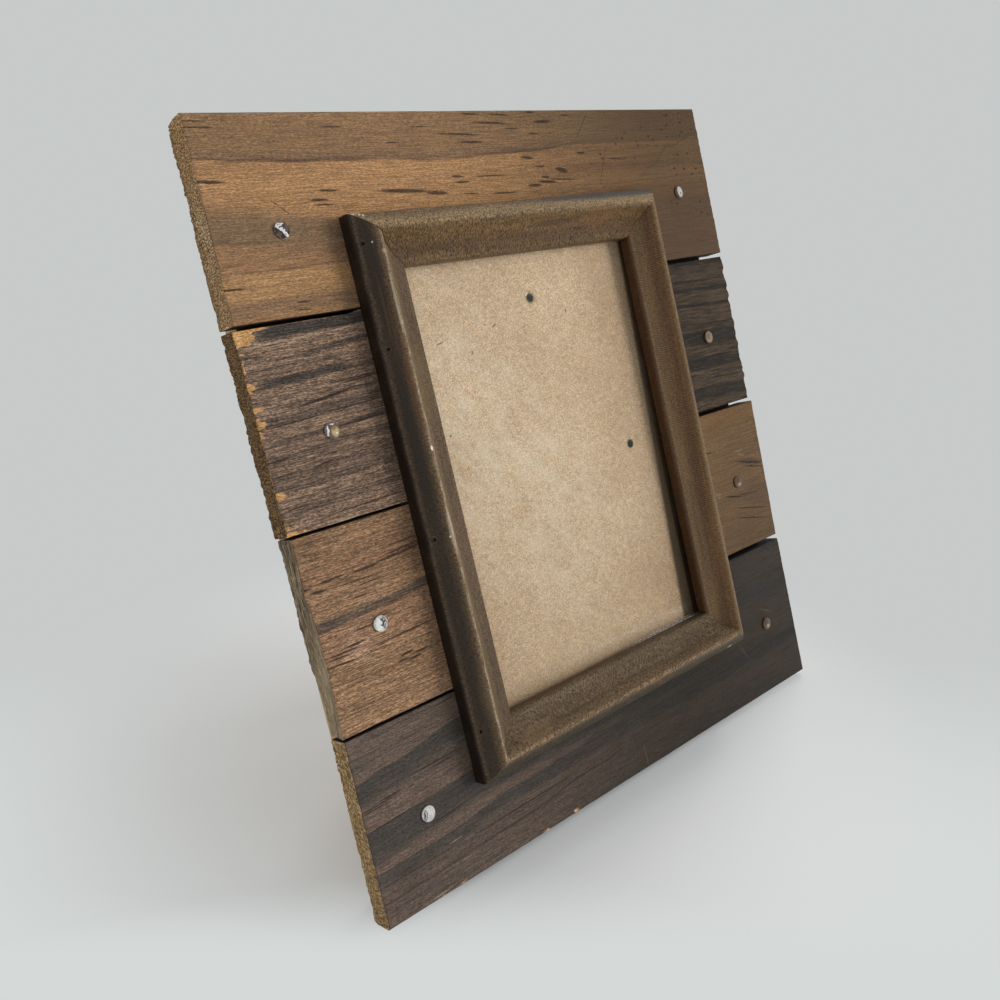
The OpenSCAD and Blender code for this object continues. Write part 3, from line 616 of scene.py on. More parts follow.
def upper_face(chips):
    slate = tone(64, 57, 52)
    stains = [((-120, 205.8), (-80, 206.6), 1.9, 0.95), ((-106, 197.6), (-80, 199.6), 0.9, 0.75),
             ((-124, 189.6), (-98, 191), 1.3, 0.9), ((-98, 190.6), (-76, 191), 0.8, 0.5),
             ((-111, 180.7), (-88, 183.4), 0.5, 0.8), ((-130, 177.4), (-76, 179.4), 1.6, 0.5),
             ((-126, 170.4), (-76, 172.6), 0.9, 0.7), ((-130, 165.2), (-76, 167.5), 1.4, 0.45),
             ((-130, 159.3), (-76, 160.3), 1.2, 0.5), ((-130, 155.6), (-76, 156.4), 1.6, 0.45),
             ((-130, 147), (-76, 149), 1.0, 0.4), ((-130, 194.5), (-100, 195), 0.7, 0.35)]
    zones = [(strip([a, b], -half, half, (1, 1), 0.5, (a[0], b[0] + 8), 8, seed=k + 2), slate, share)
             for k, (a, b, half, share) in enumerate(stains)]
    brushed = [(207, 2.6, 0), (201.5, 1.6, 1), (194.7, 2.0, 0), (192.3, 1.2, 1), (187.3, 1.6, 0),
               (181.3, 1.6, 1), (172, 6.5, 0), (167, 1.8, 1), (160, 5.6, 0), (157.2, 1.2, 1),
               (152.5, 3.6, 1), (146.5, 5.6, 0), (142.2, 1.8, 1)]
    for k, (s, size, bright) in enumerate(brushed):
        line = [(84, s + 0.8), (100, s + 0.2), (128, s - 0.6)]
        zones.append((strip(line, -size / 2, size / 2, (0.9, 0.9), 0.8, RIGHT_PART, seed=k + 20),
                      tone(140, 116, 94) if bright else tone(58, 52, 47), 0.5 if bright else 0.8))
    zones += [(torn_lines((9, 0.9, 0.9), 0.54, 70, 31), tone(44, 41, 37), 0.6),
              (torn_lines((7, 0.7, 0.7), 0.6, 70, 32), tone(150, 128, 106), 0.45)]
    strokes = [(-98, 186.2, -78, 187, 0.5), (-92, 185.6, -78, 186.4, 0.5),
               (-126, 175.6, -104, 176.6, 0.4), (-104, 176.8, -78, 178, 0.5),
               (-111, 160, -102, 161.4, 0.7), (-125, 148.4, -116, 148.8, 0.5),
               (-111, 143.2, -78, 144, 0.5), (-128, 164.8, -118, 165.2, 0.5),
               (-127, 159.6, -119, 160, 0.5), (-92, 149.6, -80, 150.2, 0.4),
               (-100, 171.4, -80, 172.4, 0.6), (-112, 180.6, -90, 183.2, 0.7),
               (92, 187.6, 108, 187, 0.8), (96, 163.4, 120, 162.6, 0.8), (88, 199.4, 112, 198.2, 0.6),
               (90, 174.6, 104, 174, 0.6), (100, 153.4, 122, 152, 0.5), (96, 179, 124, 177.6, 0.5)]
    marks = [(-128, 201.6, -112, 203, 0.5), (-112, 202.8, -96, 203.3, 0.6), (-94, 203.4, -79, 204.4, 0.5),
             (-122, 201.2, -112, 201.8, 0.3), (-111, 140.1, -95, 140.5, 0.5), (89, 142.4, 94, 142.5, 0.9),
             (114, 139.9, 122, 139.8, 0.8), (98, 163.9, 112, 164, 0.4), (-103, 151.2, -99, 151.4, 0.8),
             (88, 157.2, 98, 155.8, 0.5)]
    return stained_face("upper_wood", 5.0, (tone(119, 97, 79), tone(129, 105, 87), tone(139, 112, 92)),
                        (tone(80, 69, 60), 0.6), zones, strokes, (), marks, chips,
                        right=((-20, 90), (0.28, 0.27, 0.23)), bend=1.2, relief=0.16, contrast=0.6,
                        calmer=0.25, streak_size=(45.0, 0.9))


def lower_face():
    smoke = [(-128, 106.1), (-110, 107), (-95, 107.8), (-78, 109.4)]
    zones = [(strip(122, 0, 6, (2, 2), 0.6, LEFT_PART), tone(134, 100, 76), 0.6),
             (strip(smoke, 0, 2.6, (0.5, 1.4), 0.4, LEFT_PART), tone(94, 79, 67), 0.9),
             (patch(-119, 108.6, 6, 1.6), tone(74, 66, 60), 0.7),
             (strip(smoke, -0.3, 0.3, (0.3, 0.5), 0.4, LEFT_PART), tone(88, 66, 54), 0.7),
             (strip(smoke, -12, -0.3, (3, 0.4), 0.4, LEFT_PART), tone(148, 113, 87), 0.6),
             (patch(-112, 95.6, 6, 3.2), tone(164, 136, 114), 0.45),
             (patch(-113, 101, 3.5, 3), tone(160, 132, 110), 0.35),
             (strip(129, 0, 9, (3, 1), 0.8, RIGHT_PART), tone(164, 122, 80), 0.5),
             (patch(118, 94, 9, 7, -20), tone(124, 96, 82), 0.8),
             (patch(117, 109.4, 10, 1.6, -13), tone(100, 78, 64), 0.9)]
    strokes = [(-92, 127, -78, 127.5, 0.4), (-94, 124.2, -78, 125.4, 0.5), (-98, 122.8, -78, 124, 0.9),
               (-108, 122, -96, 122.4, 0.8), (-121, 122.1, -110, 122.5, 0.7),
               (-128, 121.6, -123.5, 121.6, 0.7), (-125, 119.9, -118, 119.5, 0.9),
               (-117, 119.3, -95.5, 118.9, 0.4), (-107, 117.2, -98, 117.5, 0.35),
               (-110, 113.5, -103, 113.6, 0.5), (-113, 102.7, -103, 103, 0.45),
               (-105, 104.2, -96, 104.6, 0.35), (-117, 98.4, -108.5, 98.6, 0.8),
               (-125, 97, -111, 97.3, 0.6), (-125, 96.2, -116, 96, 0.6), (-128, 93.9, -112, 93.5, 0.6),
               (-112, 93.5, -98, 94.1, 0.3), (-105, 95.4, -79, 96.3, 0.5), (-96, 96, -80, 96.2, 0.4),
               (-97, 88.4, -91, 88.7, 0.9), (-94, 85.8, -88, 86.2, 0.8), (-99, 86.6, -94, 86.8, 0.6),
               (-91, 87.4, -84, 87.8, 0.6), (-128, 136.2, -112, 136.5, 0.3),
               (108, 111.4, 125, 107.2, 0.7), (112, 108.4, 126, 105, 0.5), (94, 97.4, 105, 95, 0.8),
               (104, 95.6, 118, 94.6, 0.4), (98, 91, 124, 85, 0.5), (100, 85.6, 122, 80.4, 0.5),
               (86, 120, 91, 119.6, 0.5)]
    marks = [(-110, 110.2, -106, 112, 0.4), (-107, 110.8, -101, 113.6, 0.45),
             (-105, 110.8, -100, 113, 0.35), (-96.9, 129, -96.2, 129, 1.0),
             (-94.3, 97.8, -93.2, 97.2, 1.2), (-112, 92.2, -108, 92.4, 0.5), (-112, 88.4, -104, 89, 0.4),
             (-109, 90, -104, 90.6, 0.4), (107, 116.4, 113.5, 116, 0.7), (109, 114.8, 114, 113.2, 0.8),
             (87.5, 99.8, 91.5, 99.4, 1.1), (88, 98.4, 91, 98, 0.6)]
    return stained_face("lower_wood", 8.0, (tone(129, 100, 74), tone(141, 110, 82), tone(151, 117, 88)),
                        (tone(118, 90, 68), 0.4), zones, strokes, (), marks,
                        right=((20, 105), (0.44, 0.43, 0.34)), bend=1.0, contrast=0.5,
                        streak_size=(50.0, 0.9))


def bottom_face(chips):
    slate, russet = tone(61, 56, 52), tone(102, 84, 73)
    upper_seam = [(-128, 52), (-110, 54.4), (-80, 58.5)]
    mid_seam = [(-128, 35), (-105, 36), (-80, 37.8), (-60, 38)]
    low_seam = [(-128, 20), (-95, 20.6), (-60, 23.6), (0, 25)]
    last_seam = [(-128, 9), (-80, 10), (-50, 11), (-30, 13), (40, 14)]
    zones = [(strip(upper_seam, 0, 4, (0.6, 3), 0.4, LEFT_PART), russet, 0.7),
             (strip(upper_seam, -7, 0, (4, 0.6), 0.4, LEFT_PART), slate, 0.8),
             (strip(mid_seam, 0, 8, (0.6, 4), 0.5, (-140, -40)), russet, 0.7),
             (strip(mid_seam, -11, 0, (4, 0.6), 0.5, (-140, 90), 60), slate, 0.8),
             (strip(low_seam, 0, 3.4, (0.5, 1.5), 0.5, (-140, -50), 50), russet, 0.75),
             (strip(low_seam, -5, 0, (3, 0.6), 0.5, (-140, 0), 60), slate, 0.7),
             (strip(last_seam, 0, 4.2, (0.5, 1.5), 0.5, (-140, 50), 60), tone(88, 73, 64), 0.7),
             (strip(last_seam, -0.5, 0.3, (0.4, 0.5), 0.5, (-140, -10), 40), tone(52, 46, 44), 0.7),
             (strip(7.5, -2.5, 2.5, (2, 2), 0.8, (-60, 60), 60), tone(94, 77, 68), 0.6),
             (strip(48, -3, 2, (2, 2), 0.8, (85, 140)), tone(70, 72, 76), 0.6),
             (strip(60, -5, 5, (3, 3), 0.8, (92, 140)), tone(104, 88, 78), 0.5),
             (strip(12, -3, 2, (2, 2), 1.0, (20, 140), 40), tone(104, 84, 70), 0.5),
             (strip(30, -2, 3, (2, 3), 1.0, (40, 140), 40), tone(104, 85, 70), 0.5),
             (strip(21, -3, 3, (2, 2), 1.0, (0, 140), 40), slate, 0.6),
             (torn_lines((12, 0.8, 0.8), 0.58, 30, 33), tone(44, 40, 38), 0.5)]
    strokes = [(-106, 47, -84, 47.6, 0.5), (-96, 45.8, -85, 46.4, 0.4), (-128, 42.6, -112, 43, 0.5),
               (-119, 43.6, -109, 44, 0.6), (-127, 41.8, -116, 42, 0.5), (-107, 43.4, -104, 43.6, 0.4),
               (-90, 66, -80, 66.6, 0.4), (-128, 35, -104, 36, 0.5), (-82, 14.6, -30, 15.4, 0.5),
               (-128, 15, -96, 14.8, 0.4), (-100, 26.8, -84, 28, 0.5)]
    marks = [(82.5, 28.5, 86.8, 20, 0.35), (8.3, 10.5, 8.5, 1, 0.3), (102, 39.8, 111, 35.6, 0.5),
             (45, 43.2, 55, 42.8, 0.3), (-96, 16.6, -90, 16.9, 0.3), (-36.4, 0.9, -34.2, 1.2, 1.4),
             (-54, 0.7, -50.4, 0.7, 0.8), (-107, 1.2, -101, 1.4, 0.5), (-96, 0.8, -92, 0.9, 0.4)]
    return stained_face("bottom_wood", 12.0, (tone(81, 70, 61), tone(90, 77, 67), tone(98, 82, 71)),
                        (tone(68, 62, 61), 0.5), zones, strokes, (), marks, chips,
                        right=((-118, 52), (0.27, 0.27, 0.23)), bend=2.0, relief=0.09, contrast=0.4,
                        calmer=0.3, streak_size=(80.0, 1.6))


def end_grain(name, seed, stops, slant=0.0, coarse=1.0, zones=(), arris=0.5, fibre=(1.0, 0.5, 0.7)):
    """Rough-sawn end of a board: torn fibres, dark pits and bright flecks, paler along the front arris."""
    paint = Paint(name)
    along = paint.plus(paint.s, paint.scaled(paint.n, slant))
    place = paint.vector(paint.x, along, paint.n)
    fine = paint.crisp(place, [size * coarse for size in fibre], seed, soft=0.16, detail=4, rough=0.7)
    broad = paint.noise(place, (5, 9, 3), seed + 2, detail=3)
    colour = paint.ramp(paint.plus(paint.scaled(fine, 0.6), paint.scaled(broad, 0.4)), stops)
    for maker, shade, share in zones:
        colour = paint.over(colour, maker(paint), share, shade)
    pits = paint.crisp(place, (0.7, 0.4 * coarse, 0.6 * coarse), seed + 4, 0.64, 0.06)
    colour = paint.over(colour, pits, 0.72, tone(56, 40, 26))
    patchy = paint.crisp(place, (1, 0.8, 0.8), seed + 6, 0.42, 0.1)
    edge = paint.times(paint.step(paint.n, -0.9, -0.3), patchy)
    colour = paint.over(colour, edge, arris, tone(196, 168, 130))
    colour = lit(paint, colour, fine, 0.38)
    height = paint.plus(fine, paint.scaled(pits, -0.8))
    return paint.finish(colour, 0.8, height, 0.3, specular=0.25)


def slanted(paint, slant):
    """How far up a plank's end a place lies, along a line that runs down and back from the front arris."""
    return paint.plus(paint.s, paint.scaled(paint.n, -slant))


def facet(start, slant):
    """A maker of a mask for the part of an end that lies below such a line."""
    return lambda paint: paint.step(slanted(paint, slant), start + 0.5, start - 0.5)


def facet_painted_shade(start, slant, reach):
    """A maker of a mask for painted shade: strongest just below such a line, fading over reach."""

    def maker(paint):
        rising = paint.step(slanted(paint, slant), start - reach, start)
        return paint.times(facet(start, slant)(paint), rising)

    return maker


# Facets sawn into the lower plank's left end: where each starts, how its border slants, and its slope
FACETS = ((118.0, 2.47, 0.09), (92.0, 4.6, -0.04))


def lower_end():
    zones = [(strip(134, -3, 3, (4, 4), 0.3), tone(126, 110, 88), 0.6)]
    # Painted light and shade: each sawn facet is painted paler, as if turned to the light, and darker just
    # below its border.
    looks = ((tone(198, 176, 142), 16, tone(136, 118, 94)), (tone(190, 168, 134), 12, tone(130, 112, 90)))
    for (start, slant, _), (painted_lit_tone, reach, painted_shade_tone) in zip(FACETS, looks):
        zones.append((facet(start, slant), painted_lit_tone, 0.85))
        zones.append((facet_painted_shade(start, slant, reach), painted_shade_tone, 0.85))
    olive = tones((0.34, 116, 100, 78), (0.5, 154, 135, 106), (0.66, 188, 165, 132))
    return end_grain("lower_end", 9.0, olive, 1.8, 1.2, zones, 0.15, (1.0, 5.0, 0.45))


def bare_pine(name, seed, turn=False, front=None):
    """Plain planed pine with a few darker growth lines. turn is for a board whose grain runs up the face,
    and front the height of a front face that is painted near black: painted shade, where it shows through
    the gaps between the planks."""
    paint = Paint(name)
    base = paint.vector(paint.s, paint.x, paint.n) if turn else paint.face
    drift = paint.noise(base, (90, 30, 30), seed, detail=2)
    node = paint.add("ShaderNodeSeparateXYZ")
    paint.put(node.inputs[0], base)
    along, across, deep = node.outputs
    grain = paint.vector(along, paint.plus(across, paint.scaled(drift, 8, -4)), deep)
    rings = paint.noise(grain, (160, 2.6, 2.6), seed + 1, detail=3, rough=0.6)
    colour = paint.ramp(rings, tones((0.3, 214, 184, 140), (0.5, 205, 170, 122), (0.62, 186, 144, 94)))
    fine = paint.noise(grain, (4, 0.4, 0.4), seed + 2, detail=3, rough=0.6)
    colour = lit(paint, colour, fine, 0.2)
    if front is not None:
        # Painted shade: the front face, seen through the gaps between the planks, is painted near black.
        colour = paint.blend(paint.step(paint.n, front - 0.5, front - 0.1), colour, tone(34, 26, 20))
    return paint.finish(colour, 0.7, fine, 0.1, specular=0.3)


def stained_shaded_edge(name, seed, dark, light):
    """Stained long edge of a plank, darkened further with painted shade, for the shade in the gaps between
    the planks.
    """
    paint = Paint(name)
    fine = paint.noise(paint.face, (6, 0.8, 0.8), seed, detail=4, rough=0.65)
    return paint.finish(paint.ramp(fine, [(0.35, dark), (0.65, light)]), 0.7, fine, 0.15, specular=0.25)


# Planks

EASE = 0.5
LAYERS = (0.0, 0.4, 1.3, 2.6, 4.0, 5.4, 6.6, 7.5, 8.0, 8.5)
END_LEAN = 9.0
TORN_REACH = 2.6
FLARE_REACH = 4.0
SAME = 1e-6


def extremes(points, s, side):
    """How far a plank reaches at height s, to the left (-1) or right (1)."""
    near = points[np.abs(points[:, 1] - s) < 0.2]
    return side * (side * near[:, 0]).max()


OPENING_X = (face_points("lower_plank_left")[:, 0].max(), face_points("lower_plank_right")[:, 0].min())
BOX_X = (CAD_BOX[0][0] / MM, CAD_BOX[1][0] / MM)


def opening_edge(node, towards):
    """Height at which the glass opening cuts into a whole plank. towards is 1 if it lies above."""
    points = face_points(node)
    corner = points[np.abs(np.abs(points[:, 0]) - OPENING_X[1]) < 0.01]
    return towards * (towards * corner[:, 1]).min()


def chip_depth(p, chips, seed):
    """How deep broken-out chips go at each point."""
    depth = np.zeros(len(p))
    uneven = 0.2 * waves(p, (1.6, 1.2, 2.0), seed)
    for x, s, half_x, half_s, deep in chips:
        far = np.hypot((p[:, 0] - x) / half_x, (p[:, 1] - s) / half_s) + uneven
        depth = np.maximum(depth, deep * np.clip((1 - far) * 1.6, 0, 1))
    return depth


def plank_cells(foot, head, back, x_left, x_right, fine_left, hole):
    """The skin of a plank in cells, finer at its ends and edges and over fine_left from its left end. hole
    is the height at which the glass opening cuts into it."""
    xs = stations(x_left, x_right, 2.4, (0, 0.45, 1.0, 1.8, 3.0))
    ss = stations(foot, head, 0.7, (0, EASE, 1.2))
    cut = None
    if fine_left:
        extra = np.arange(x_left + 3.6, x_left + fine_left, 0.7)
        xs = np.sort(np.concatenate([xs[(xs < x_left + 3.3) | (xs > x_left + fine_left)], extra]))
    if hole:
        xs = np.sort(np.concatenate([xs[np.abs(np.abs(xs) - OPENING_X[1]) > 0.8], OPENING_X]))
        ss = np.sort(np.concatenate([ss[np.abs(ss - hole) > 0.5], [hole]]))
        cut = (*OPENING_X, hole, head) if hole > (foot + head) / 2 else (*OPENING_X, foot, hole)
    return block(xs, ss, back + np.array(LAYERS + (-back,)), cut)


def make_plank(node, seed, materials, rough, fine_left=0.0, chips=(), ripple=0.0, hole=None,
               facets=(), rounded=None, teeth=1.1, sliver=None, flare=0.0):
    """One plank or plank piece in place of its CAD node, with worn arrises and rough-sawn ends. rough and
    teeth are the depth and size of the torn ends, ripple how deep a wire-brushed face is, and rounded the
    depth and height of a round corner behind the left end. sliver is a splinter that closes the gap above
    the plank: its middle and height. flare is how far the left end's back stands out beyond its front."""
    cad = face_points(node)
    foot, head, back = cad[:, 1].min(), cad[:, 1].max(), cad[:, 2].min()
    left = [extremes(cad, s, -1) for s in (foot, head)]
    right = [extremes(cad, s, 1) for s in (foot, head)]
    x_left, x_right = np.mean(left), np.mean(right)
    sawn_left, sawn_right = x_left < OPENING_X[0] - 1, x_right > OPENING_X[1] + 1
    p, faces, kinds = plank_cells(foot, head, back, x_left, x_right, fine_left, hole)
    x, s, n = p.T.copy()
    share = (s - foot) / (head - foot)
    from_left, from_right = x - x_left, x_right - x
    front, rear = np.abs(n) < SAME, np.abs(n - back) < SAME
    at_foot, at_head = np.abs(s - foot) < SAME, np.abs(s - head) < SAME
    flat = np.stack([np.zeros(len(p)), s, n], 1)

    # Slanted and rough-sawn ends, more ragged towards the back
    ragged = rough * (0.26 * waves(flat, (1, teeth, 2.2), seed) + 0.26 * waves(flat, (1, 0.7, 1.3), seed + 1)
                      + 0.22 * waves(flat, (1, 6.0, 6.0), seed + 2))
    ragged = ragged * (0.45 + 0.75 * np.clip(n / back, 0, 1))
    for sawn, gap, ends, middle, side in ((sawn_left, from_left, left, x_left, -1),
                                          (sawn_right, from_right, right, x_right, 1)):
        if sawn:
            x += fade(gap, END_LEAN) * (ends[0] + (ends[1] - ends[0]) * share - middle)
            x += fade(gap, TORN_REACH) * side * ragged
    x -= fade(from_left, FLARE_REACH) * flare * np.clip(n / back, 0, 1)
    for start, slant, slope in facets:
        below = np.clip(start + slant * n - s, 0, 12 if slope > 0 else 40)
        x += fade(from_left, FLARE_REACH) * slope * below

    # Worn front arrises, and a light ease behind
    wear = EASE * (0.42 + 0.16 * waves(p, (7, 7, 1), seed + 3))
    for edge, way in ((at_foot, 1), (at_head, -1)):
        s += np.where(edge & front, way * wear, 0) + np.where(edge & rear, way * 0.15, 0)
        n += np.where(edge & front, -wear, 0) + np.where(edge & rear, 0.15, 0)
    for sawn, gap, way in ((sawn_left, from_left, 1), (sawn_right, from_right, -1)):
        if sawn:
            at_end = gap < SAME
            x += np.where(at_end & front, way * wear * 0.8, 0)
            n += np.where(at_end & front, -wear * 0.8, 0)
    if sliver:
        s += np.where(at_head, sliver[1] * np.clip(2 - np.abs(x - sliver[0]) / 4, 0, 1), 0)

    # Grain standing a little proud, ripples where the face was wire-brushed, and chips
    inner = ~(at_foot | at_head)
    relief = 0.05 * waves(p, (45, 1.6, 9), seed + 4) - 0.05
    if ripple:
        sway = 2.2 * waves(p, (26, 40, 9), seed + 5)
        crest = np.stack([x, s + sway, np.zeros(len(p))], 1)
        swell = waves(crest, (70, 2.6, 1), seed + 6) - 0.6 + 0.4 * waves(crest, (30, 1.3, 1), seed + 7)
        relief = relief + ripple * 0.5 * np.clip(swell, -1.6, 0)
        if sawn_right:
            x += fade(from_right, 3.0) * ripple * 0.8 * np.clip(swell + 0.3, -1.4, 0.2)
    n += np.where(front & inner, relief, 0)
    if chips:
        depth = chip_depth(p, chips, seed + 8)
        top = n > back + 5
        n -= np.where(top, depth * np.clip((n + 3) / 3, 0, 1), 0)
        x += np.where(top & (from_left < 0.5), depth * 0.4 * np.clip((n + 3.5) / 3, 0, 1), 0)
    if rounded:
        deep, high = (back + rounded[0] - n) / rounded[0], (s - (head - rounded[1])) / rounded[1]
        out = np.hypot(deep, high)
        shrink = np.where((deep > 0) & (high > 0) & (out > 1), 1 / np.maximum(out, 1e-6), 1)
        shrink = 1 + (shrink - 1) * fade(from_left, END_LEAN)
        n = back + rounded[0] * (1 - deep * shrink)
        s = head - rounded[1] * (1 - high * shrink)
    x = np.clip(x, BOX_X[0], BOX_X[1])
    piece = new_piece(node + "_wood", np.stack([x, s, n], 1), faces, materials, kinds=kinds)
    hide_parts(node)


# Places where the stain and wood have broken away, as (x, s, half x, half s, depth)
LEFT_CHIPS = [(-128, 206, 7, 3.2, 1.3), (-124.5, 207.9, 9, 1.0, 0.8), (-128, 189.6, 3.4, 1.8, 0.8),
              (-128.2, 182.3, 3.4, 0.9, 0.5), (-128, 177.6, 3.5, 1.8, 0.8), (-128.4, 173.5, 1.6, 2.4, 0.4),
              (-128, 153.6, 3.8, 1.3, 0.8), (-128.2, 143.5, 2.2, 1.9, 0.6), (-125.5, 140.2, 5.4, 0.9, 0.7),
              (-128, 197, 0.9, 5.0, 0.3)]
FOOT_CHIPS = [(-35.3, 0.6, 1.3, 0.6, 0.9), (-52, 0.3, 1.8, 0.3, 0.4), (-104.6, 0.4, 1.4, 0.2, 0.3),
              (-93.8, 0.6, 0.8, 0.25, 0.4)]


def make_planks():
    pine = bare_pine("plank_back", 3.0)
    gold = tones((0.3, 150, 108, 66), (0.45, 198, 154, 104), (0.58, 230, 190, 142), (0.72, 250, 222, 180))
    brown = tones((0.3, 72, 54, 36), (0.45, 114, 88, 60), (0.6, 152, 118, 76), (0.72, 190, 146, 92))
    tan = tones((0.3, 128, 98, 62), (0.45, 178, 142, 92), (0.6, 210, 172, 118), (0.72, 238, 204, 150))
    amber = [(patch(0, 268, 1e3, 16), tone(200, 150, 84), 0.5),
             (patch(0, 216, 1e3, 16), tone(190, 144, 88), 0.4),
             (lambda paint: paint.step(paint.n, -6, -8.5), tone(146, 118, 78), 0.5)]
    # The plank edges' tones are stain darkened with painted shade, as they lie in the gaps between the
    # planks.
    looks = {
        "top": (top_face(), stained_shaded_edge("top_edge", 1.0, tone(40, 30, 22), tone(84, 62, 44)),
                end_grain("top_end", 4.0, gold, zones=amber)),
        "upper": (upper_face(LEFT_CHIPS), stained_shaded_edge("upper_edge", 2.0, tone(26, 22, 20), tone(52, 43, 37)),
                  end_grain("upper_end", 6.0, brown, 0.6, arris=0.2)),
        "lower": (lower_face(), stained_shaded_edge("lower_edge", 3.0, tone(34, 26, 20), tone(70, 52, 38)),
                  lower_end()),
        "bottom": (bottom_face(FOOT_CHIPS),
                   stained_shaded_edge("bottom_edge", 4.0, tone(28, 25, 24), tone(54, 47, 43)),
                   end_grain("bottom_end", 13.0, tan, 0.9, 1.2)),
    }
    looks = {name: [*look, pine] for name, look in looks.items()}
    make_plank("top_plank", 11, looks["top"], rough=1.0, hole=opening_edge("top_plank", -1),
               rounded=(7.2, 4.6), flare=0.8)
    make_plank("upper_plank_left", 23, looks["upper"], rough=0.9, fine_left=18,
               chips=LEFT_CHIPS, teeth=1.6, sliver=(-76, 0.9))
    make_plank("upper_plank_right", 29, looks["upper"], rough=0.7, ripple=1.0, teeth=2.2)
    make_plank("lower_plank_left", 37, looks["lower"], rough=0.6, facets=FACETS, teeth=1.2)
    make_plank("lower_plank_right", 41, looks["lower"], rough=0.35, teeth=1.8)
    make_plank("bottom_plank", 53, looks["bottom"], rough=0.6, chips=FOOT_CHIPS,
               hole=opening_edge("bottom_plank", 1), teeth=1.2)


make_planks()


# Moulding

BRAD_HOLE = np.ptp(face_points("moulding_brads")[:, 0][face_points("moulding_brads")[:, 0] < 0]) / 2 + 0.03


def rail_section():
    """The rail's section from the CAD: distance in from the outer edge and height above the planks."""
    points = face_points("moulding_bottom")
    points = np.unique(np.round(np.stack([points[:, 1] - points[:, 1].min(), points[:, 2]], 1), 3), axis=0)
    half = points[:, 0].max() / 2
    order = np.lexsort((np.where(points[:, 0] < half, points[:, 1], -points[:, 1]), points[:, 0]))
    return points[order]


SECTION_STEP = 0.55


def fine_section():
    """The section with points a step apart and its corners slightly eased."""
    corners = rail_section()
    run = np.concatenate([[0], np.cumsum(np.hypot(*np.diff(corners, axis=0).T))])
    even = np.linspace(0, run[-1], round(run[-1] / SECTION_STEP) + 1)
    line = np.stack([np.interp(even, run, corners[:, 0]), np.interp(even, run, corners[:, 1])], 1)
    eased = line.copy()
    eased[1:-1] = (line[:-2] + 2 * line[1:-1] + line[2:]) / 4
    return eased


RAIL_SPAN = 20.0


def moulding_wood(name, seed, upright, profile, wear, flecks, extras, ribs=0.0):
    """Stained moulding. profile gives its colours by distance in from the outer edge, which hold painted
    light and shade for how each face is turned to the light, wear the colour, share and place of the pale
    line along its ridge, part wear and part painted highlight, flecks and ribs how strong its cross grain
    is, and extras its marks as (colour, share, spots)."""
    paint = Paint(name)
    run, side = (paint.s, paint.x) if upright else (paint.x, paint.s)
    base = paint.vector(run, side, paint.n)
    inset = paint.add("ShaderNodeAttribute", attribute_name="inset").outputs["Fac"]
    sway = paint.noise(base, (9, 9, 9), seed)
    place = paint.plus(inset, paint.scaled(sway, 1.2, -0.6))
    stops = [(at / RAIL_SPAN, *shade) for at, *shade in profile]
    colour = paint.ramp(paint.scaled(place, 1 / RAIL_SPAN), tones(*stops))
    colour = lit(paint, colour, paint.crisp(base, (50, 5, 5), seed + 1, soft=0.2), 0.12)
    colour = lit(paint, colour, paint.crisp(base, (30, 0.8, 0.8), seed + 7, soft=0.2, detail=4), 0.16)
    # The pale line along the ridge is part wear, part painted highlight.
    worn, share, crest = wear
    ridge = paint.times(paint.step(inset, crest - 0.9, crest), paint.step(inset, crest + 1.6, crest + 0.4))
    broken = paint.crisp(base, (6, 0.7, 0.7), seed + 2, 0.48, 0.12)
    colour = paint.over(colour, paint.times(ridge, broken), share, worn)
    fine = paint.crisp(base, (1.1, 0.45, 0.45), seed + 3)
    colour = lit(paint, colour, fine, 0.16)
    cross = paint.crisp(base, (0.4, 1.1, 1.1), seed + 4)
    colour = lit(paint, colour, cross, flecks)
    height = paint.plus(fine, cross)
    if ribs:
        phase = paint.noise(base, (30, 9, 9), seed + 5)
        comb = paint.calc("SINE", paint.plus(paint.times(run, 2 * math.pi / 0.95), paint.scaled(phase, 9)))
        patchy = paint.crisp(base, (14, 5, 5), seed + 6, 0.46, 0.12)
        comb = paint.scaled(paint.times(comb, patchy), 0.5, 0.5)
        colour = lit(paint, colour, comb, ribs)
        height = paint.plus(height, comb)
    for shade, share, places in extras:
        worn = paint.shaken((1.2, 0.6, 0.6), 0.3, 0.2, seed + 9)
        colour = paint.over(colour, paint.spots(worn, places, soft=0.6), share, shade)
    return paint.finish(colour, paint.scaled(fine, 0.2, 0.36), height, 0.05, specular=0.4)


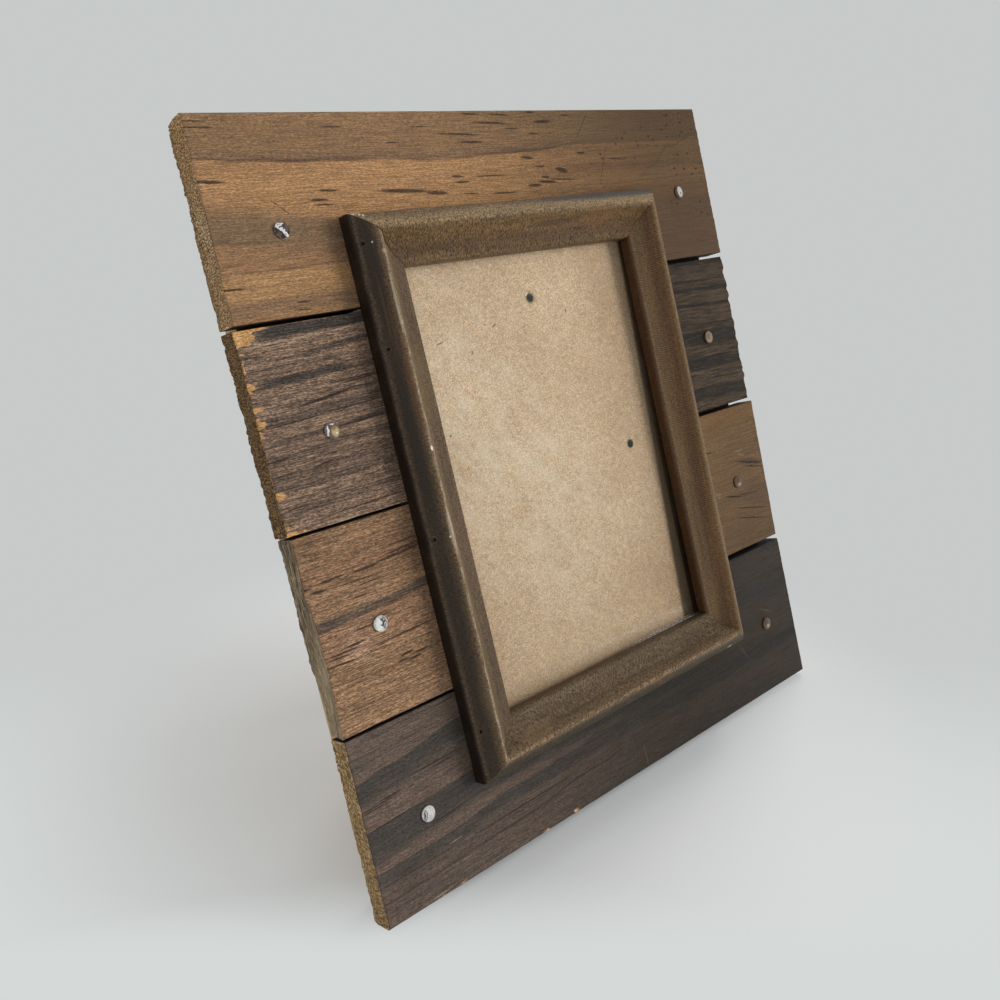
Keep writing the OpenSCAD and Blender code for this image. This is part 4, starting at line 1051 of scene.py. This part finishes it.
def make_rail(node, seed, upright, way, material, mitre_gaps=(0.06, 0.06)):
    """A mitred rail. way is 1 if its inner edge lies towards larger x or s. mitre_gaps are at its low and
    high end."""
    cad = face_points(node)
    run_axis, side_axis = (1, 0) if upright else (0, 1)
    low, high = cad[:, run_axis].min(), cad[:, run_axis].max()
    outer = cad[:, side_axis].min() if way > 0 else cad[:, side_axis].max()
    section = fine_section()
    shares = stations(0.0, 1.0, 1.6 / (high - low), (0, 0.004, 0.012))
    rows = np.tile(shares[:, None], (1, len(section)))
    inset = np.tile(section[:, 0], (len(shares), 1))
    rise = np.tile(section[:, 1], (len(shares), 1))
    start, end = low + inset + mitre_gaps[0], high - inset - mitre_gaps[1]
    run = start + (end - start) * rows
    flat = np.stack([run.ravel(), inset.ravel(), np.zeros(run.size)], 1)

    def swell(size, number):
        return waves(flat, size, seed + number).reshape(run.shape)

    # A slightly wavy surface with small dents, and an outer side that isn't quite straight
    uneven = swell((30, 8, 1), 0) * 0.10 - 0.10
    uneven -= 0.12 * np.clip(swell((3.5, 2.0, 1), 1) - 0.55, 0, 1)
    raised = rise > 0.6
    rise = rise + np.where(raised, uneven, 0)
    pinched = np.where((inset < 0.4) & raised, 0.06 + 0.06 * swell((14, 1, 1), 2), 0)
    across = outer + way * (inset + pinched)
    columns = [None, None, rise.ravel()]
    columns[run_axis], columns[side_axis] = run.ravel(), across.ravel()
    index = np.arange(run.size).reshape(run.shape)
    faces = bands(*run.shape) + [list(index[0]), list(index[-1][::-1])]
    if (way > 0) != upright:
        faces = [f[::-1] for f in faces]
    points = np.stack(columns, 1)
    piece = new_piece(node + "_rail", points, faces, material, sharp=50)
    values = piece.data.attributes.new("inset", "FLOAT", "POINT")
    values.data.foreach_set("value", inset.ravel().astype(np.float32))
    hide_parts(node)
    return piece


def bore(piece, places, radius):
    """Cuts straight holes for the brads."""
    for x, s in places:
        bpy.ops.mesh.primitive_cylinder_add(vertices=12, radius=radius * MM, depth=20 * MM)
        cutter = bpy.context.active_object
        cutter.location = to_world([[x, s, 7.0]])[0]
        cutter.rotation_euler = OUT.to_track_quat("Z", "Y").to_euler()
        cut = piece.modifiers.new("bore", "BOOLEAN")
        cut.object = cutter
        cut.solver = "EXACT"
        bpy.context.view_layer.objects.active = piece
        bpy.ops.object.modifier_apply(modifier=cut.name)
        bpy.data.objects.remove(cutter)


def make_moulding():
    speck, pit = tone(226, 220, 206), tone(24, 18, 14)

    # Colours across each rail, as (distance in from its outer edge, red, green, blue). They hold painted
    # light
    # and shade: the one stain is painted darker on faces turned from the light, such as the left rail's
    # outer wall and the right rail's lip, and paler on faces turned to the light or upwards.
    left = [(0, 32, 19, 9), (0.3, 50, 37, 25), (0.8, 90, 71, 52), (1.8, 57, 42, 25),
            (4, 57, 43, 26), (5, 77, 58, 37), (6.2, 98, 78, 54), (11, 97, 79, 58),
            (12.5, 91, 74, 54), (14, 81, 64, 45), (18.4, 83, 66, 47)]
    right = [(0, 124, 91, 54), (0.6, 111, 87, 59), (3, 94, 72, 47), (5, 101, 75, 49),
             (6.5, 97, 74, 47), (7.5, 112, 89, 60), (8.4, 118, 91, 58), (9.2, 117, 85, 49),
             (10.2, 101, 71, 40), (12.5, 101, 75, 46), (14, 103, 80, 51), (18.0, 101, 79, 52),
             (18.5, 74, 48, 21)]
    top = [(0, 112, 92, 68), (1, 104, 86, 64), (3, 118, 99, 73), (5, 127, 106, 76),
           (6.4, 109, 86, 59), (7.6, 94, 72, 43), (9.2, 104, 78, 46), (11, 95, 70, 39),
           (14, 82, 58, 31), (16, 80, 58, 33), (18.4, 91, 69, 42)]
    bottom = [(0, 67, 54, 38), (0.7, 76, 65, 46), (2, 63, 54, 39), (4, 63, 54, 38),
              (5, 74, 60, 43), (6.1, 94, 76, 54), (7.2, 94, 77, 56), (9.2, 101, 81, 57),
              (10.4, 81, 65, 46), (14, 85, 68, 48), (18.1, 92, 76, 55), (18.4, 81, 65, 47)]

    # Marks of each rail, as (colour, share, spots)
    left_marks = [
        (tone(38, 27, 18), 0.5, [(-75.4, 222, 1.6, 16), (-75.8, 160, 1.2, 26)]),
        (tone(104, 66, 42), 0.4, [(-73.2, 181, 1.0, 13), (-75.4, 207, 0.35, 11), (-74.4, 200, 0.3, 9)]),
        (tone(118, 98, 62), 0.16, [(-63.6, 180, 4, 14), (-73.4, 66, 1.6, 10)]),
        # Pale spots along the ridge: part wear, part painted highlight.
        (tone(178, 162, 138), 0.5, [(-71.8, 226, 0.9, 0.8), (-71.9, 208, 0.5, 10), (-71.6, 127, 0.9, 8)]),
        (speck, 0.9, [(-74.5, 229.6, 0.3, 0.3), (-71.5, 156.7, 0.5, 0.9), (-72.6, 124.8, 0.3, 0.4)]),
    ]
    right_marks = [(speck, 0.5, [(81.4, 152, 0.7, 0.7)])]
    top_marks = [
        # Painted reflection: a blue-grey band along the top rail's outer edge, as it mirrors the bright sky.
        (tone(62, 66, 70), 0.8, [(52, 240.4, 46, 2.6)]),
        (tone(66, 48, 30), 0.6, [(14, 230, 9, 1.0, 3)]),
        (tone(124, 82, 50), 0.25, [(40, 231, 8, 3)]),
        (speck, 0.7, [(-77.0, 240.3, 0.5, 0.35, 20), (-75.9, 240.5, 0.8, 0.3, -15),
                      (-74.5, 240.0, 0.5, 0.4, 30), (-73.5, 239.5, 0.7, 0.3, 40),
                      (-75.2, 239.5, 0.3, 0.2)]),
    ]
    bottom_marks = [
        (tone(122, 74, 44), 0.6, [(15.5, 37, 6, 0.7, -48), (22, 35.5, 4, 0.5, 30)]),
        (tone(130, 104, 72), 0.3, [(-52, 43, 9, 2.2, 6)]),
        (pit, 0.8, [(-39.5, 36.7, 0.8, 0.4)]),
        (speck, 0.9, [(67, 34, 0.9, 0.5)]),
    ]
    left = moulding_wood("moulding_left_wood", 1.0, True, left, (tone(158, 140, 118), 0.6, 7.4),
                         flecks=0.5, extras=left_marks)
    right = moulding_wood("moulding_right_wood", 2.0, True, right, (tone(140, 112, 80), 0.4, 7.4),
                          flecks=0.3, extras=right_marks, ribs=0.34)
    top = moulding_wood("moulding_top_wood", 3.0, False, top, (tone(150, 128, 94), 0.4, 6.0),
                        flecks=0.8, extras=top_marks)
    bottom = moulding_wood("moulding_bottom_wood", 4.0, False, bottom, (tone(150, 120, 82), 0.5, 6.9),
                           flecks=0.7, extras=bottom_marks)
    brads = face_points("moulding_brads")[:, :2]
    make_rail("moulding_bottom", 61, False, 1, bottom)
    make_rail("moulding_top", 67, False, -1, top, (0.3, 0.06))
    for node, seed, way, material in (("moulding_left", 71, 1, left), ("moulding_right", 73, -1, right)):
        rail = make_rail(node, seed, True, way, material)
        bore(rail, [place for place in clusters(brads, 3.0) if place[0] * way < 0], BRAD_HOLE)


make_moulding()


# Nails


def nail_steel(middles):
    """Plated nail heads with painted reflections: painted bright on the left and brown on the right, with
    painted glints and dark reflected patches. middles are those of the heads, the left column first, from
    the bottom up; the marks give the head they are on first."""
    white, grey, mauve, brown = tone(244, 244, 242), tone(124, 116, 110), tone(112, 94, 90), tone(66, 50, 40)
    marks = [
        (grey, 0.9, [(1, 1.2, 0, 1.1, 2.2), (0, -1.5, 0, 0.8, 2.0, -12)]),
        (mauve, 1.0, [(2, 0, 0, 3, 3)]),
        (brown, 1.0, [(3, 0, 0, 3, 3)]),
        (mauve, 0.8, [(3, 1.5, 0.4, 0.8, 1.4), (3, -1.5, -1.2, 0.7, 1.0)]),
        (tone(204, 180, 134), 0.9, [(2, 0.8, -0.6, 1.5, 2.0, 12)]),
        (tone(128, 96, 66), 0.7, [(2, 0.5, 0.9, 1.2, 1.0, 10)]),
        (white, 0.95, [(3, -1.1, 1.5, 1.3, 1.0, 20), (3, -0.3, 0.2, 1.2, 0.7, -40),
                       (3, 1.1, -1.7, 1.1, 0.6, -40), (3, 0.3, -0.9, 0.5, 0.35, -30),
                       (3, 0.4, 2.1, 0.5, 0.3, -20), (2, -1.9, 0, 0.35, 1.8, -6),
                       (2, 1.3, -1.3, 0.4, 0.3), (2, 0.3, 2.1, 0.9, 0.25), (1, -0.9, 0, 1.2, 2.2),
                       (1, 1.2, 1.0, 0.5, 0.4, 40), (1, 1.5, -0.7, 0.4, 0.9),
                       (0, -1.3, 0.1, 0.15, 1.6, -12)]),
        (brown, 0.9, [(1, 0.1, -0.6, 0.6, 0.35, -30), (1, 1.0, 0.3, 0.4, 1.0, -30),
                      (1, 0.4, 1.3, 0.3, 0.6, 20), (0, -1.1, -0.3, 0.15, 1.6, -15),
                      (0, -1.7, 0.3, 0.15, 1.3, -10), (3, -0.6, 1.0, 0.8, 0.2, 10),
                      (3, -1.0, -0.5, 0.6, 0.35, -30), (3, -1.3, 1.8, 0.3, 0.35, 40),
                      (3, 0.2, 0.3, 0.3, 0.25), (3, 0.7, -1.5, 0.4, 0.15, -40),
                      (3, -0.5, 1.9, 0.2, 0.3), (1, 1.3, -0.9, 0.8, 0.2, 60)]),
        (tone(212, 209, 204), 0.9, [(7, 0, 0.2, 1.7, 2.3, 8)]),
        (brown, 0.8, [(7, 0.1, -0.7, 0.4, 0.6)]),
        (tone(168, 146, 122), 0.8, [(4, 0.2, -1.1, 1.2, 0.9), (6, 0, 0, 2.3, 2.4),
                                    (5, 0.2, -1.2, 1.2, 0.8)]),
        (tone(92, 74, 60), 0.7, [(6, -0.1, 0.2, 1.5, 1.6), (4, 0, 0.2, 1.6, 0.4), (5, -0.4, 0.6, 1.0, 1.2)]),
        (tone(150, 130, 108), 0.8, [(6, 0.3, 0.2, 0.7, 0.8)]),
    ]
    paint = Paint("nail_steel")
    place = paint.shaken((1.1, 1.1, 1.1), 0.5, 0.5, 3)
    fine = paint.crisp(paint.face, (0.9, 0.9, 0.9), 5)
    # Painted reflections: the left heads are painted bright and the right ones brown, and the marks add
    # painted glints and darker reflected patches.
    colour = paint.blend(paint.step(paint.x, 0, 90), tone(214, 212, 208), tone(100, 82, 66))
    colour = lit(paint, colour, fine, 0.14)
    for shade, share, places in marks:
        places = [(middles[k][0] + x, middles[k][1] + s, *rest) for k, x, s, *rest in places]
        colour = paint.over(colour, paint.spots(place, places, soft=0.3), share, shade)
    return paint.finish(colour, 0.3, fine, 0.06, Metallic=0.6)


NAIL_REACH = 7.0
HEAD_RINGS = (0.0, 0.18, 0.36, 0.52, 0.66, 0.78, 0.88, 0.95, 1.0)
HEAD_POINTS = 28
HEAD_FLATS = 7
HEAD_FOOT = -0.05


def nail_head(x, s, radius, height, flats):
    """Points of a hammered head, ring by ring from its top to its foot. flats are the marks of the hammer:
    which way each faces, its slope and its level."""
    points = []
    for share in HEAD_RINGS:
        for angle in circle(HEAD_POINTS):
            u, v = share * math.cos(angle), share * math.sin(angle)
            dome = height * (1 - 0.55 * share ** 2.6)
            for a, b, slope, level in flats:
                towards = (a * u + b * v) / math.hypot(a, b)
                dome = min(dome, height * (level + slope * 0.5 - slope * towards))
            out = 0.99 * radius * (1 + 0.02 * math.sin(3 * angle + x))
            points.append((x + out * u, s + out * v, max(dome, 0.25 * height)))
    out = 0.95 * radius
    return points + [(x + out * math.cos(angle), s + out * math.sin(angle), HEAD_FOOT)
                     for angle in circle(HEAD_POINTS)]


def make_nails():
    cad = face_points("plank_nails")
    heads = cad[cad[:, 2] > 0.01]
    height = heads[:, 2].max()
    rng = np.random.default_rng(7)
    middles = sorted(clusters(heads[:, :2], NAIL_REACH), key=lambda middle: (middle[0] > 0, middle[1]))
    points, faces = [], []
    for x, s in middles:
        near = heads[np.abs(heads[:, :2] - (x, s)).max(1) < NAIL_REACH]
        flats = [(rng.uniform(-1, 1), rng.uniform(-1, 1), rng.uniform(0.28, 0.62), rng.uniform(0.72, 1.0))
                 for _ in range(HEAD_FLATS)]
        faces += bands(len(HEAD_RINGS) + 1, HEAD_POINTS, len(points))
        points += nail_head(x, s, np.ptp(near[:, 0]) / 2, height, flats)
        faces.append(list(range(len(points) - HEAD_POINTS, len(points)))[::-1])
    piece = new_piece("nail_heads", points, faces, nail_steel(middles), sharp=24)
    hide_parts("plank_nails")


make_nails()


# Glass and backboard


def clear_glass():
    """Thin picture glass: clear, with a faint even mirror and a painted white glint along the bottom rail,
    where the glass edge catches the light.
    """
    paint = Paint("glass")
    # Painted glint: a broken pale line on the glass just above the bottom rail.
    edge = paint.strokes(paint.shaken((1.0, 0.4, 0.4), 0.2, 0.08, 5), [(12, 52.3, 61, 52.3, 0.4)])
    broken = paint.crisp(paint.face, (1.4, 5, 5), 6, 0.46, 0.1)
    through = paint.shader("ShaderNodeBsdfTransparent", Color=(0.985, 0.995, 0.99, 1))
    mirror = paint.shader("ShaderNodeBsdfGlossy", Roughness=0.04)
    painted_glint = paint.shader("ShaderNodeBsdfDiffuse", Color=tone(226, 224, 218))
    clear = paint.mixed(0.01, through, mirror)
    marked = paint.mixed(paint.scaled(paint.times(edge, broken), 0.7), clear, painted_glint)
    paint.put(paint.add("ShaderNodeOutputMaterial").inputs[0], marked)
    return paint.material


HAIR = 0.016


def hairs(paint, size, seed, share):
    """Short curly hairs: thin level lines of a noise, kept in patches."""
    field = paint.noise(paint.face, (size, size, size), seed, detail=2, swirl=1.2)
    line = paint.step(paint.calc("ABSOLUTE", paint.plus(field, -0.5)), HAIR, HAIR / 3)
    return paint.times(line, paint.crisp(paint.face, (1.6, 1.6, 1.6), seed + 7, share, 0.05))


def fibreboard(name, seed, base, contrast):
    """Brown fibreboard: fine felted fibres, dark and pale hairs, and a cloudy tone."""
    paint = Paint(name)
    cloud = paint.noise(paint.face, (38, 38, 38), seed, detail=3)
    colour = paint.ramp(cloud, [(0.35, base[0]), (0.65, base[1])])
    felt = paint.crisp(paint.face, (0.52, 0.52, 0.52), seed + 1, soft=0.14, detail=2)
    colour = lit(paint, colour, felt, contrast)
    tufts = paint.crisp(paint.face, (2.2, 1.4, 2), seed + 2, soft=0.2, detail=4, swirl=1.5)
    colour = lit(paint, colour, tufts, contrast * 0.6)
    colour = paint.over(colour, hairs(paint, 3.2, seed + 3, 0.54), 0.45, tone(112, 84, 58))
    colour = paint.over(colour, hairs(paint, 2.6, seed + 5, 0.5), 0.5, tone(240, 222, 194))
    speck = paint.crisp(paint.face, (1.5, 0.9, 1), seed + 9, 0.76, 0.02, detail=2)
    colour = paint.over(colour, speck, 0.6, tone(98, 72, 50))
    speck = paint.crisp(paint.face, (1.7, 0.8, 1), seed + 13, 0.73, 0.02, detail=2)
    return paint, paint.over(colour, speck, 0.6, tone(240, 222, 192)), felt


def dusted(paint, colour):
    """colour with the pale dust and the dark dashes on the board's front."""
    tilted = paint.vector(paint.plus(paint.x, paint.scaled(paint.s, -1)), paint.plus(paint.x, paint.s), 0.0)
    dusty = paint.crisp(tilted, (17, 10, 9), 8.0, 0.52, 0.16, detail=6, rough=0.72)
    dust = paint.times(dusty, paint.spot(paint.face, -26, 142, 36, 70, 28, soft=1.4))
    colour = paint.over(colour, dust, 0.34, tone(230, 214, 194))
    dashes = [(-20.2, 194.8, -18, 196, 0.6), (-48.5, 192.1, -45.1, 192.8, 0.55),
              (-33.2, 185.9, -32.2, 187.4, 0.5), (-52.2, 158, -51.2, 158.4, 0.9),
              (20, 195.8, 21, 196.2, 1.0), (-24, 196.2, -23.2, 196.4, 0.7)]
    return paint.over(colour, paint.strokes(paint.face, dashes), 0.75, tone(104, 76, 52))


def rivet_stains(paint, colour, top, side):
    """colour with the torn rings and dark rims where the two rivets come through."""
    torn = paint.crisp(paint.face, (0.5, 0.5, 0.5), 21, 0.52, 0.05, swirl=1.0)
    ring = paint.times(torn, paint.spots(paint.face, [(*top, 2.7, 2.7), (*side, 1.8, 1.8)], soft=0.5))
    colour = paint.over(colour, ring, 0.8, tone(92, 74, 58))
    rim = paint.spots(paint.shaken((0.8, 0.8, 0.8), 0.3, 0.3, 22), [(*top, 1.8, 1.8), (*side, 1.9, 1.9)])
    return paint.blend(rim, colour, tone(52, 55, 56))


def board_shadows(paint, colour):
    """colour darker towards the bottom, with painted shade on the board's front: a band above the bottom
    rail, the right rail's shadow and a dark line along the right rail's lip.
    """
    front_face = face_points("backboard")[:, 2].max()
    front = paint.step(paint.n, front_face - 0.6, front_face - 0.2)
    # Painted shade: a brown band above the bottom rail, and a fainter darkening towards the right rail.
    low = paint.calc("MAXIMUM", paint.step(paint.s, 62, 51), paint.times(paint.step(paint.x, 20, 56), 0.5))
    colour = paint.over(colour, paint.times(low, front), 0.5, tone(128, 98, 68))
    colour = paint.blend(paint.step(paint.s, 170, 60), colour, (0.88, 0.87, 0.85, 1), "MULTIPLY")
    shade = paint.step(paint.plus(paint.x, paint.scaled(paint.s, -0.0486)), 48.2, 50.4)
    colour = paint.over(colour, paint.times(shade, front), 0.8, tone(64, 48, 33))
    # Painted shade: a near-black line along the right rail's lip, fading out towards the top.
    corner = paint.times(paint.step(paint.x, 58.2, 59.2), paint.step(paint.s, 215, 60))
    return paint.over(colour, paint.times(corner, front), 0.85, tone(40, 29, 20))


def repaint(node, material):
    data = frame["nodes"][node].data
    data.materials.clear()
    data.materials.append(material)


def make_board():
    repaint("glass", clear_glass())
    paint, colour, felt = fibreboard("backboard", 2.0, (tone(185, 156, 127), tone(199, 171, 142)), 0.23)
    top, side = [face_points(node)[:, :2].mean(0) for node in ("top_hanger_rivet", "side_hanger_rivet")]
    colour = dusted(paint, colour)
    colour = rivet_stains(paint, colour, top, side)
    colour = board_shadows(paint, colour)
    burr = paint.spot(paint.face, top[0] - 1.6, top[1] + 1.5, 0.7, 0.3, 50, soft=0.6)
    colour = paint.over(colour, burr, 0.8, tone(236, 222, 200))
    repaint("backboard", paint.finish(colour, 0.85, felt, 0.03, specular=0.2))


make_board()


def plain_metal(name, seed, dull, bright, roughness=0.35):
    """Sheet or wire steel with a fine uneven finish."""
    paint = Paint(name)
    cloud = paint.noise(paint.face, (3, 3, 3), seed, detail=4, rough=0.65)
    fine = paint.noise(paint.face, (0.3, 2.5, 2.5), seed + 1, detail=3)
    colour = lit(paint, paint.ramp(cloud, [(0.35, dull), (0.65, bright)]), fine, 0.15)
    rough = paint.scaled(cloud, 0.3, roughness - 0.15)
    return paint.finish(colour, rough, fine, 0.02, Metallic=1.0)


SHEET = plain_metal("sheet_steel", 1.0, tone(150, 152, 156), tone(192, 194, 198))
PLATED = plain_metal("plated_steel", 2.0, tone(168, 150, 96), tone(214, 198, 146), 0.3)
DARK = plain_metal("dark_steel", 3.0, tone(50, 55, 60), tone(84, 90, 95), 0.45)
STUD = plain_metal("stud_steel", 4.0, tone(122, 122, 126), tone(176, 176, 180), 0.35)


WELD = 1e-6
KEPT_SHARP = math.radians(50)


def soften(node, width, material, body="frame", segments=2):
    """Puts a copy of a CAD node with its sharp edges eased in the node's place."""
    source = frame["nodes"][node].data
    shape = bmesh.new()
    shape.from_mesh(source)
    bmesh.ops.remove_doubles(shape, verts=shape.verts, dist=WELD)
    bmesh.ops.dissolve_limit(shape, angle_limit=math.radians(1), verts=shape.verts, edges=shape.edges)
    sharp = [e for e in shape.edges if len(e.link_faces) == 2 and e.calc_face_angle(0) > KEPT_SHARP]
    bmesh.ops.bevel(shape, geom=sharp, offset=width * MM, segments=segments, profile=0.5, affect="EDGES",
                    clamp_overlap=True)
    mesh = bpy.data.meshes.new(node + "_eased")
    shape.to_mesh(mesh)
    shape.free()
    mesh.materials.append(material)
    piece = shown(mesh, node + "_eased", body, 40)
    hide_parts(node)


def make_battens():
    pine = bare_pine("batten_wood", 7.0, True, face_points("batten_left")[:, 2].max())
    pale = tones((0.35, 140, 104, 62), (0.5, 186, 150, 100), (0.65, 208, 176, 128))
    cut = end_grain("batten_end", 17.0, pale)
    for node, seed in (("batten_left", 81), ("batten_right", 83)):
        cad = face_points(node)
        low, high = cad.min(0), cad.max(0)
        xs = stations(low[0], high[0], 4, (0, 0.5, 1.5))
        ss = stations(low[1], high[1], 6, (0, 0.5, 1.5))
        ns = np.array([low[2], low[2] + 0.5, low[2] + 3, high[2] - 3, high[2] - 0.4, high[2]])
        p, faces, kinds = block(xs, ss, ns)
        inward = np.zeros_like(p)
        for axis in (0, 1, 2):
            for edge, way in ((low[axis], 1), (high[axis], -1)):
                inward[:, axis] += np.where(np.abs(p[:, axis] - edge) < SAME, way, 0)
        corners = (inward != 0).sum(1) >= 2
        amount = 0.18 + 0.06 * waves(p, (4, 9, 4), seed)
        p = p + np.where(corners[:, None], inward * amount[:, None], 0)
        rear = np.abs(p[:, 2] - low[2]) < SAME
        p[:, 2] += np.where(rear, 0.05 + 0.05 * waves(p, (3, 50, 1), seed + 1), 0)
        kinds = np.where(kinds == EDGE, 1, 0)
        piece = new_piece(node + "_pine", p, faces, [pine, cut], kinds=kinds)
        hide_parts(node)


make_battens()


RING_BEND = 3.4
WIRE_POINTS = 14


def bent(corners, trim):
    """A closed path round corners that are bent smooth, each from trim before it to trim after it."""
    path = []
    for i, corner in enumerate(corners):
        to_last, to_next = corners[i - 1] - corner, corners[(i + 1) % len(corners)] - corner
        first = corner + to_last / np.linalg.norm(to_last) * trim
        last = corner + to_next / np.linalg.norm(to_next) * trim
        for t in np.linspace(0, 1, 9):
            path.append((1 - t) ** 2 * first + 2 * t * (1 - t) * corner + t ** 2 * last)
    return np.array(path)


def make_ring(node, body, axis, hang):
    """A wire ring bent to a triangle with round corners, its straight side through the strap's eye."""
    cad = cad_points(node) @ AXES
    across, down = np.array(axis), np.array(hang)
    side = np.cross(across, down)
    reach = [cad @ way for way in (across, down, side)]
    wire = np.ptp(reach[2]) / 2
    half = np.ptp(reach[0]) / 2 - wire
    drop = np.ptp(reach[1]) - 2 * wire
    middle = across * (reach[0].max() + reach[0].min()) / 2 + side * (reach[2].max() + reach[2].min()) / 2
    eye = middle + down * (reach[1].min() + wire)
    path = bent(np.array([(half, 0.0), (0.0, drop), (-half, 0.0)]), RING_BEND)
    points = []
    for i, place in enumerate(path):
        ahead = path[(i + 1) % len(path)] - path[i - 1]
        ahead /= np.linalg.norm(ahead)
        normal = np.array([ahead[1], -ahead[0]])
        for angle in circle(WIRE_POINTS):
            flat = place + normal * wire * math.cos(angle)
            points.append(eye + across * flat[0] + down * flat[1] + side * wire * math.sin(angle))
    faces = [[a, d, c, b] for a, b, c, d in bands(len(path), WIRE_POINTS, closed=True)]
    piece = new_piece(node + "_wire", np.array(points) * MM, faces, PLATED, body, world=True)
    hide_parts(node)


make_ring("top_hanger_ring", "top_ring", ACROSS, (0, 0, -1))
make_ring("side_hanger_ring", "side_ring", UP, -OUT)


def make_hardware():
    for node in ("top_hanger_strap", "side_hanger_strap"):
        soften(node, 0.12, PLATED)
    for node in ("tab_upper_left", "tab_upper_right", "tab_lower_left", "tab_lower_right"):
        soften(node, 0.08, SHEET, node + "_leaf")
    soften("leg_bracket", 0.15, SHEET)
    soften("leg_leaf", 0.15, SHEET, "leg")
    for node in ("leg_pin", "bracket_rivets", "leg_rivets"):
        repaint(node, STUD)
    repaint("tab_tangs", SHEET)
    for node in ("top_hanger_rivet", "side_hanger_rivet"):
        repaint(node, DARK)
    repaint("moulding_brads", plain_metal("stained_brads", 6.0, tone(104, 82, 58), tone(136, 110, 80), 0.7))
    paint, colour, felt = fibreboard("leg_board", 5.0, (tone(150, 116, 78), tone(176, 140, 98)), 0.16)
    leg_board = paint.finish(colour, 0.8, felt, 0.08, specular=0.25)
    soften("easel_leg", 0.35, leg_board, "leg", segments=3)


make_hardware()


# Stage

BACKDROP = tone(199, 202, 201)
BRIGHT_FLOOR = tone(213, 217, 216)
BRIGHT_SIDE = (-0.66, -0.75, 0.0)
NEAR_FLOOR = (0.77, 0.778, 0.774, 1)
SHADOW_MIDDLE = (-0.0225, 0.02, 0.0)
FLOOR_REACH = 8.0

# Where the floor melts into the backdrop: away from the shadow's middle, and towards the bright side
MELTS_AWAY = (0.08, 0.24)
MELTS_AHEAD = (0.09, 0.14)
GLOW_ENDS = (0.55, 0.24)
GLOW_SHIFT = 0.08


def make_stage():
    """A pale floor that keeps its shadow near the object and melts into the backdrop further out, with a
    painted glow, seen by the camera only, that makes it brighter towards the front.
    """
    bpy.ops.mesh.primitive_plane_add(size=2 * FLOOR_REACH)
    floor = bpy.context.active_object
    floor.name = "floor"
    material = bpy.data.materials.new("floor")
    nodes = Nodes(material)
    place = nodes.add("ShaderNodeTexCoord").outputs["Object"]
    far = nodes.measured("DISTANCE", place, SHADOW_MIDDLE)
    ahead = nodes.measured("DOT_PRODUCT", place, BRIGHT_SIDE)
    # Painted light: a glow that is brighter towards the front than the backdrop.
    bright = nodes.times(nodes.plus(ahead, GLOW_SHIFT), nodes.step(far, *GLOW_ENDS))
    stops = [(0.0, BACKDROP), (0.18, BRIGHT_FLOOR), (0.4, BRIGHT_FLOOR), (1.0, BACKDROP)]
    glow = nodes.shader("ShaderNodeEmission", Color=nodes.ramp(bright, stops, "EASE"))
    surface = nodes.shader("ShaderNodeBsdfDiffuse", Color=NEAR_FLOOR)
    melt = nodes.calc("MAXIMUM", nodes.step(far, *MELTS_AWAY), nodes.step(ahead, *MELTS_AHEAD))
    seen = nodes.times(melt, nodes.add("ShaderNodeLightPath").outputs["Is Camera Ray"])
    nodes.put(nodes.add("ShaderNodeOutputMaterial").inputs[0], nodes.mixed(seen, surface, glow))
    floor.data.materials.append(material)


def make_world(strength):
    """An even sky that lights the object. The camera, mirrors and glass see the backdrop instead."""
    world = bpy.data.worlds.new("world")
    bpy.context.scene.world = world
    nodes = Nodes(world)
    fill = nodes.shader("ShaderNodeBackground", Color=(0.97, 0.99, 1.0, 1), Strength=strength)
    backdrop = nodes.shader("ShaderNodeBackground", Color=BACKDROP)
    path = nodes.add("ShaderNodeLightPath").outputs
    seen = nodes.calc("MAXIMUM", path["Is Camera Ray"], path["Is Glossy Ray"])
    seen = nodes.calc("MAXIMUM", seen, path["Is Transmission Ray"])
    nodes.put(nodes.add("ShaderNodeOutputWorld").inputs[0], nodes.mixed(seen, fill, backdrop))


OBJECT_MIDDLE = Vector((0, 0, 0.13))
LAMP_DISTANCE = 3.0


def make_lamp(name, direction, size, power):
    """A soft lamp that faces the object's middle and that shiny surfaces don't mirror."""
    data = bpy.data.lights.new(name, "AREA")
    data.shape = "RECTANGLE"
    data.size, data.size_y = size
    data.energy = power
    lamp = bpy.data.objects.new(name, data)
    lamp.visible_glossy = False
    way = Vector(direction).normalized()
    lamp.location = OBJECT_MIDDLE + way * LAMP_DISTANCE
    lamp.rotation_euler = way.to_track_quat("Z", "Y").to_euler()
    bpy.context.scene.collection.objects.link(lamp)


make_stage()
make_world(0.44)
make_lamp("window", (0.70, -0.66, 0.22), (0.9, 1.3), 58.0)
make_lamp("side_window", (0.92, -0.4, 0.3), (1.0, 1.2), 25.0)
make_lamp("back_window", (0.6, 0.35, 0.72), (1.2, 1.2), 34.0)

bpy.context.scene.view_settings.view_transform = "Standard"
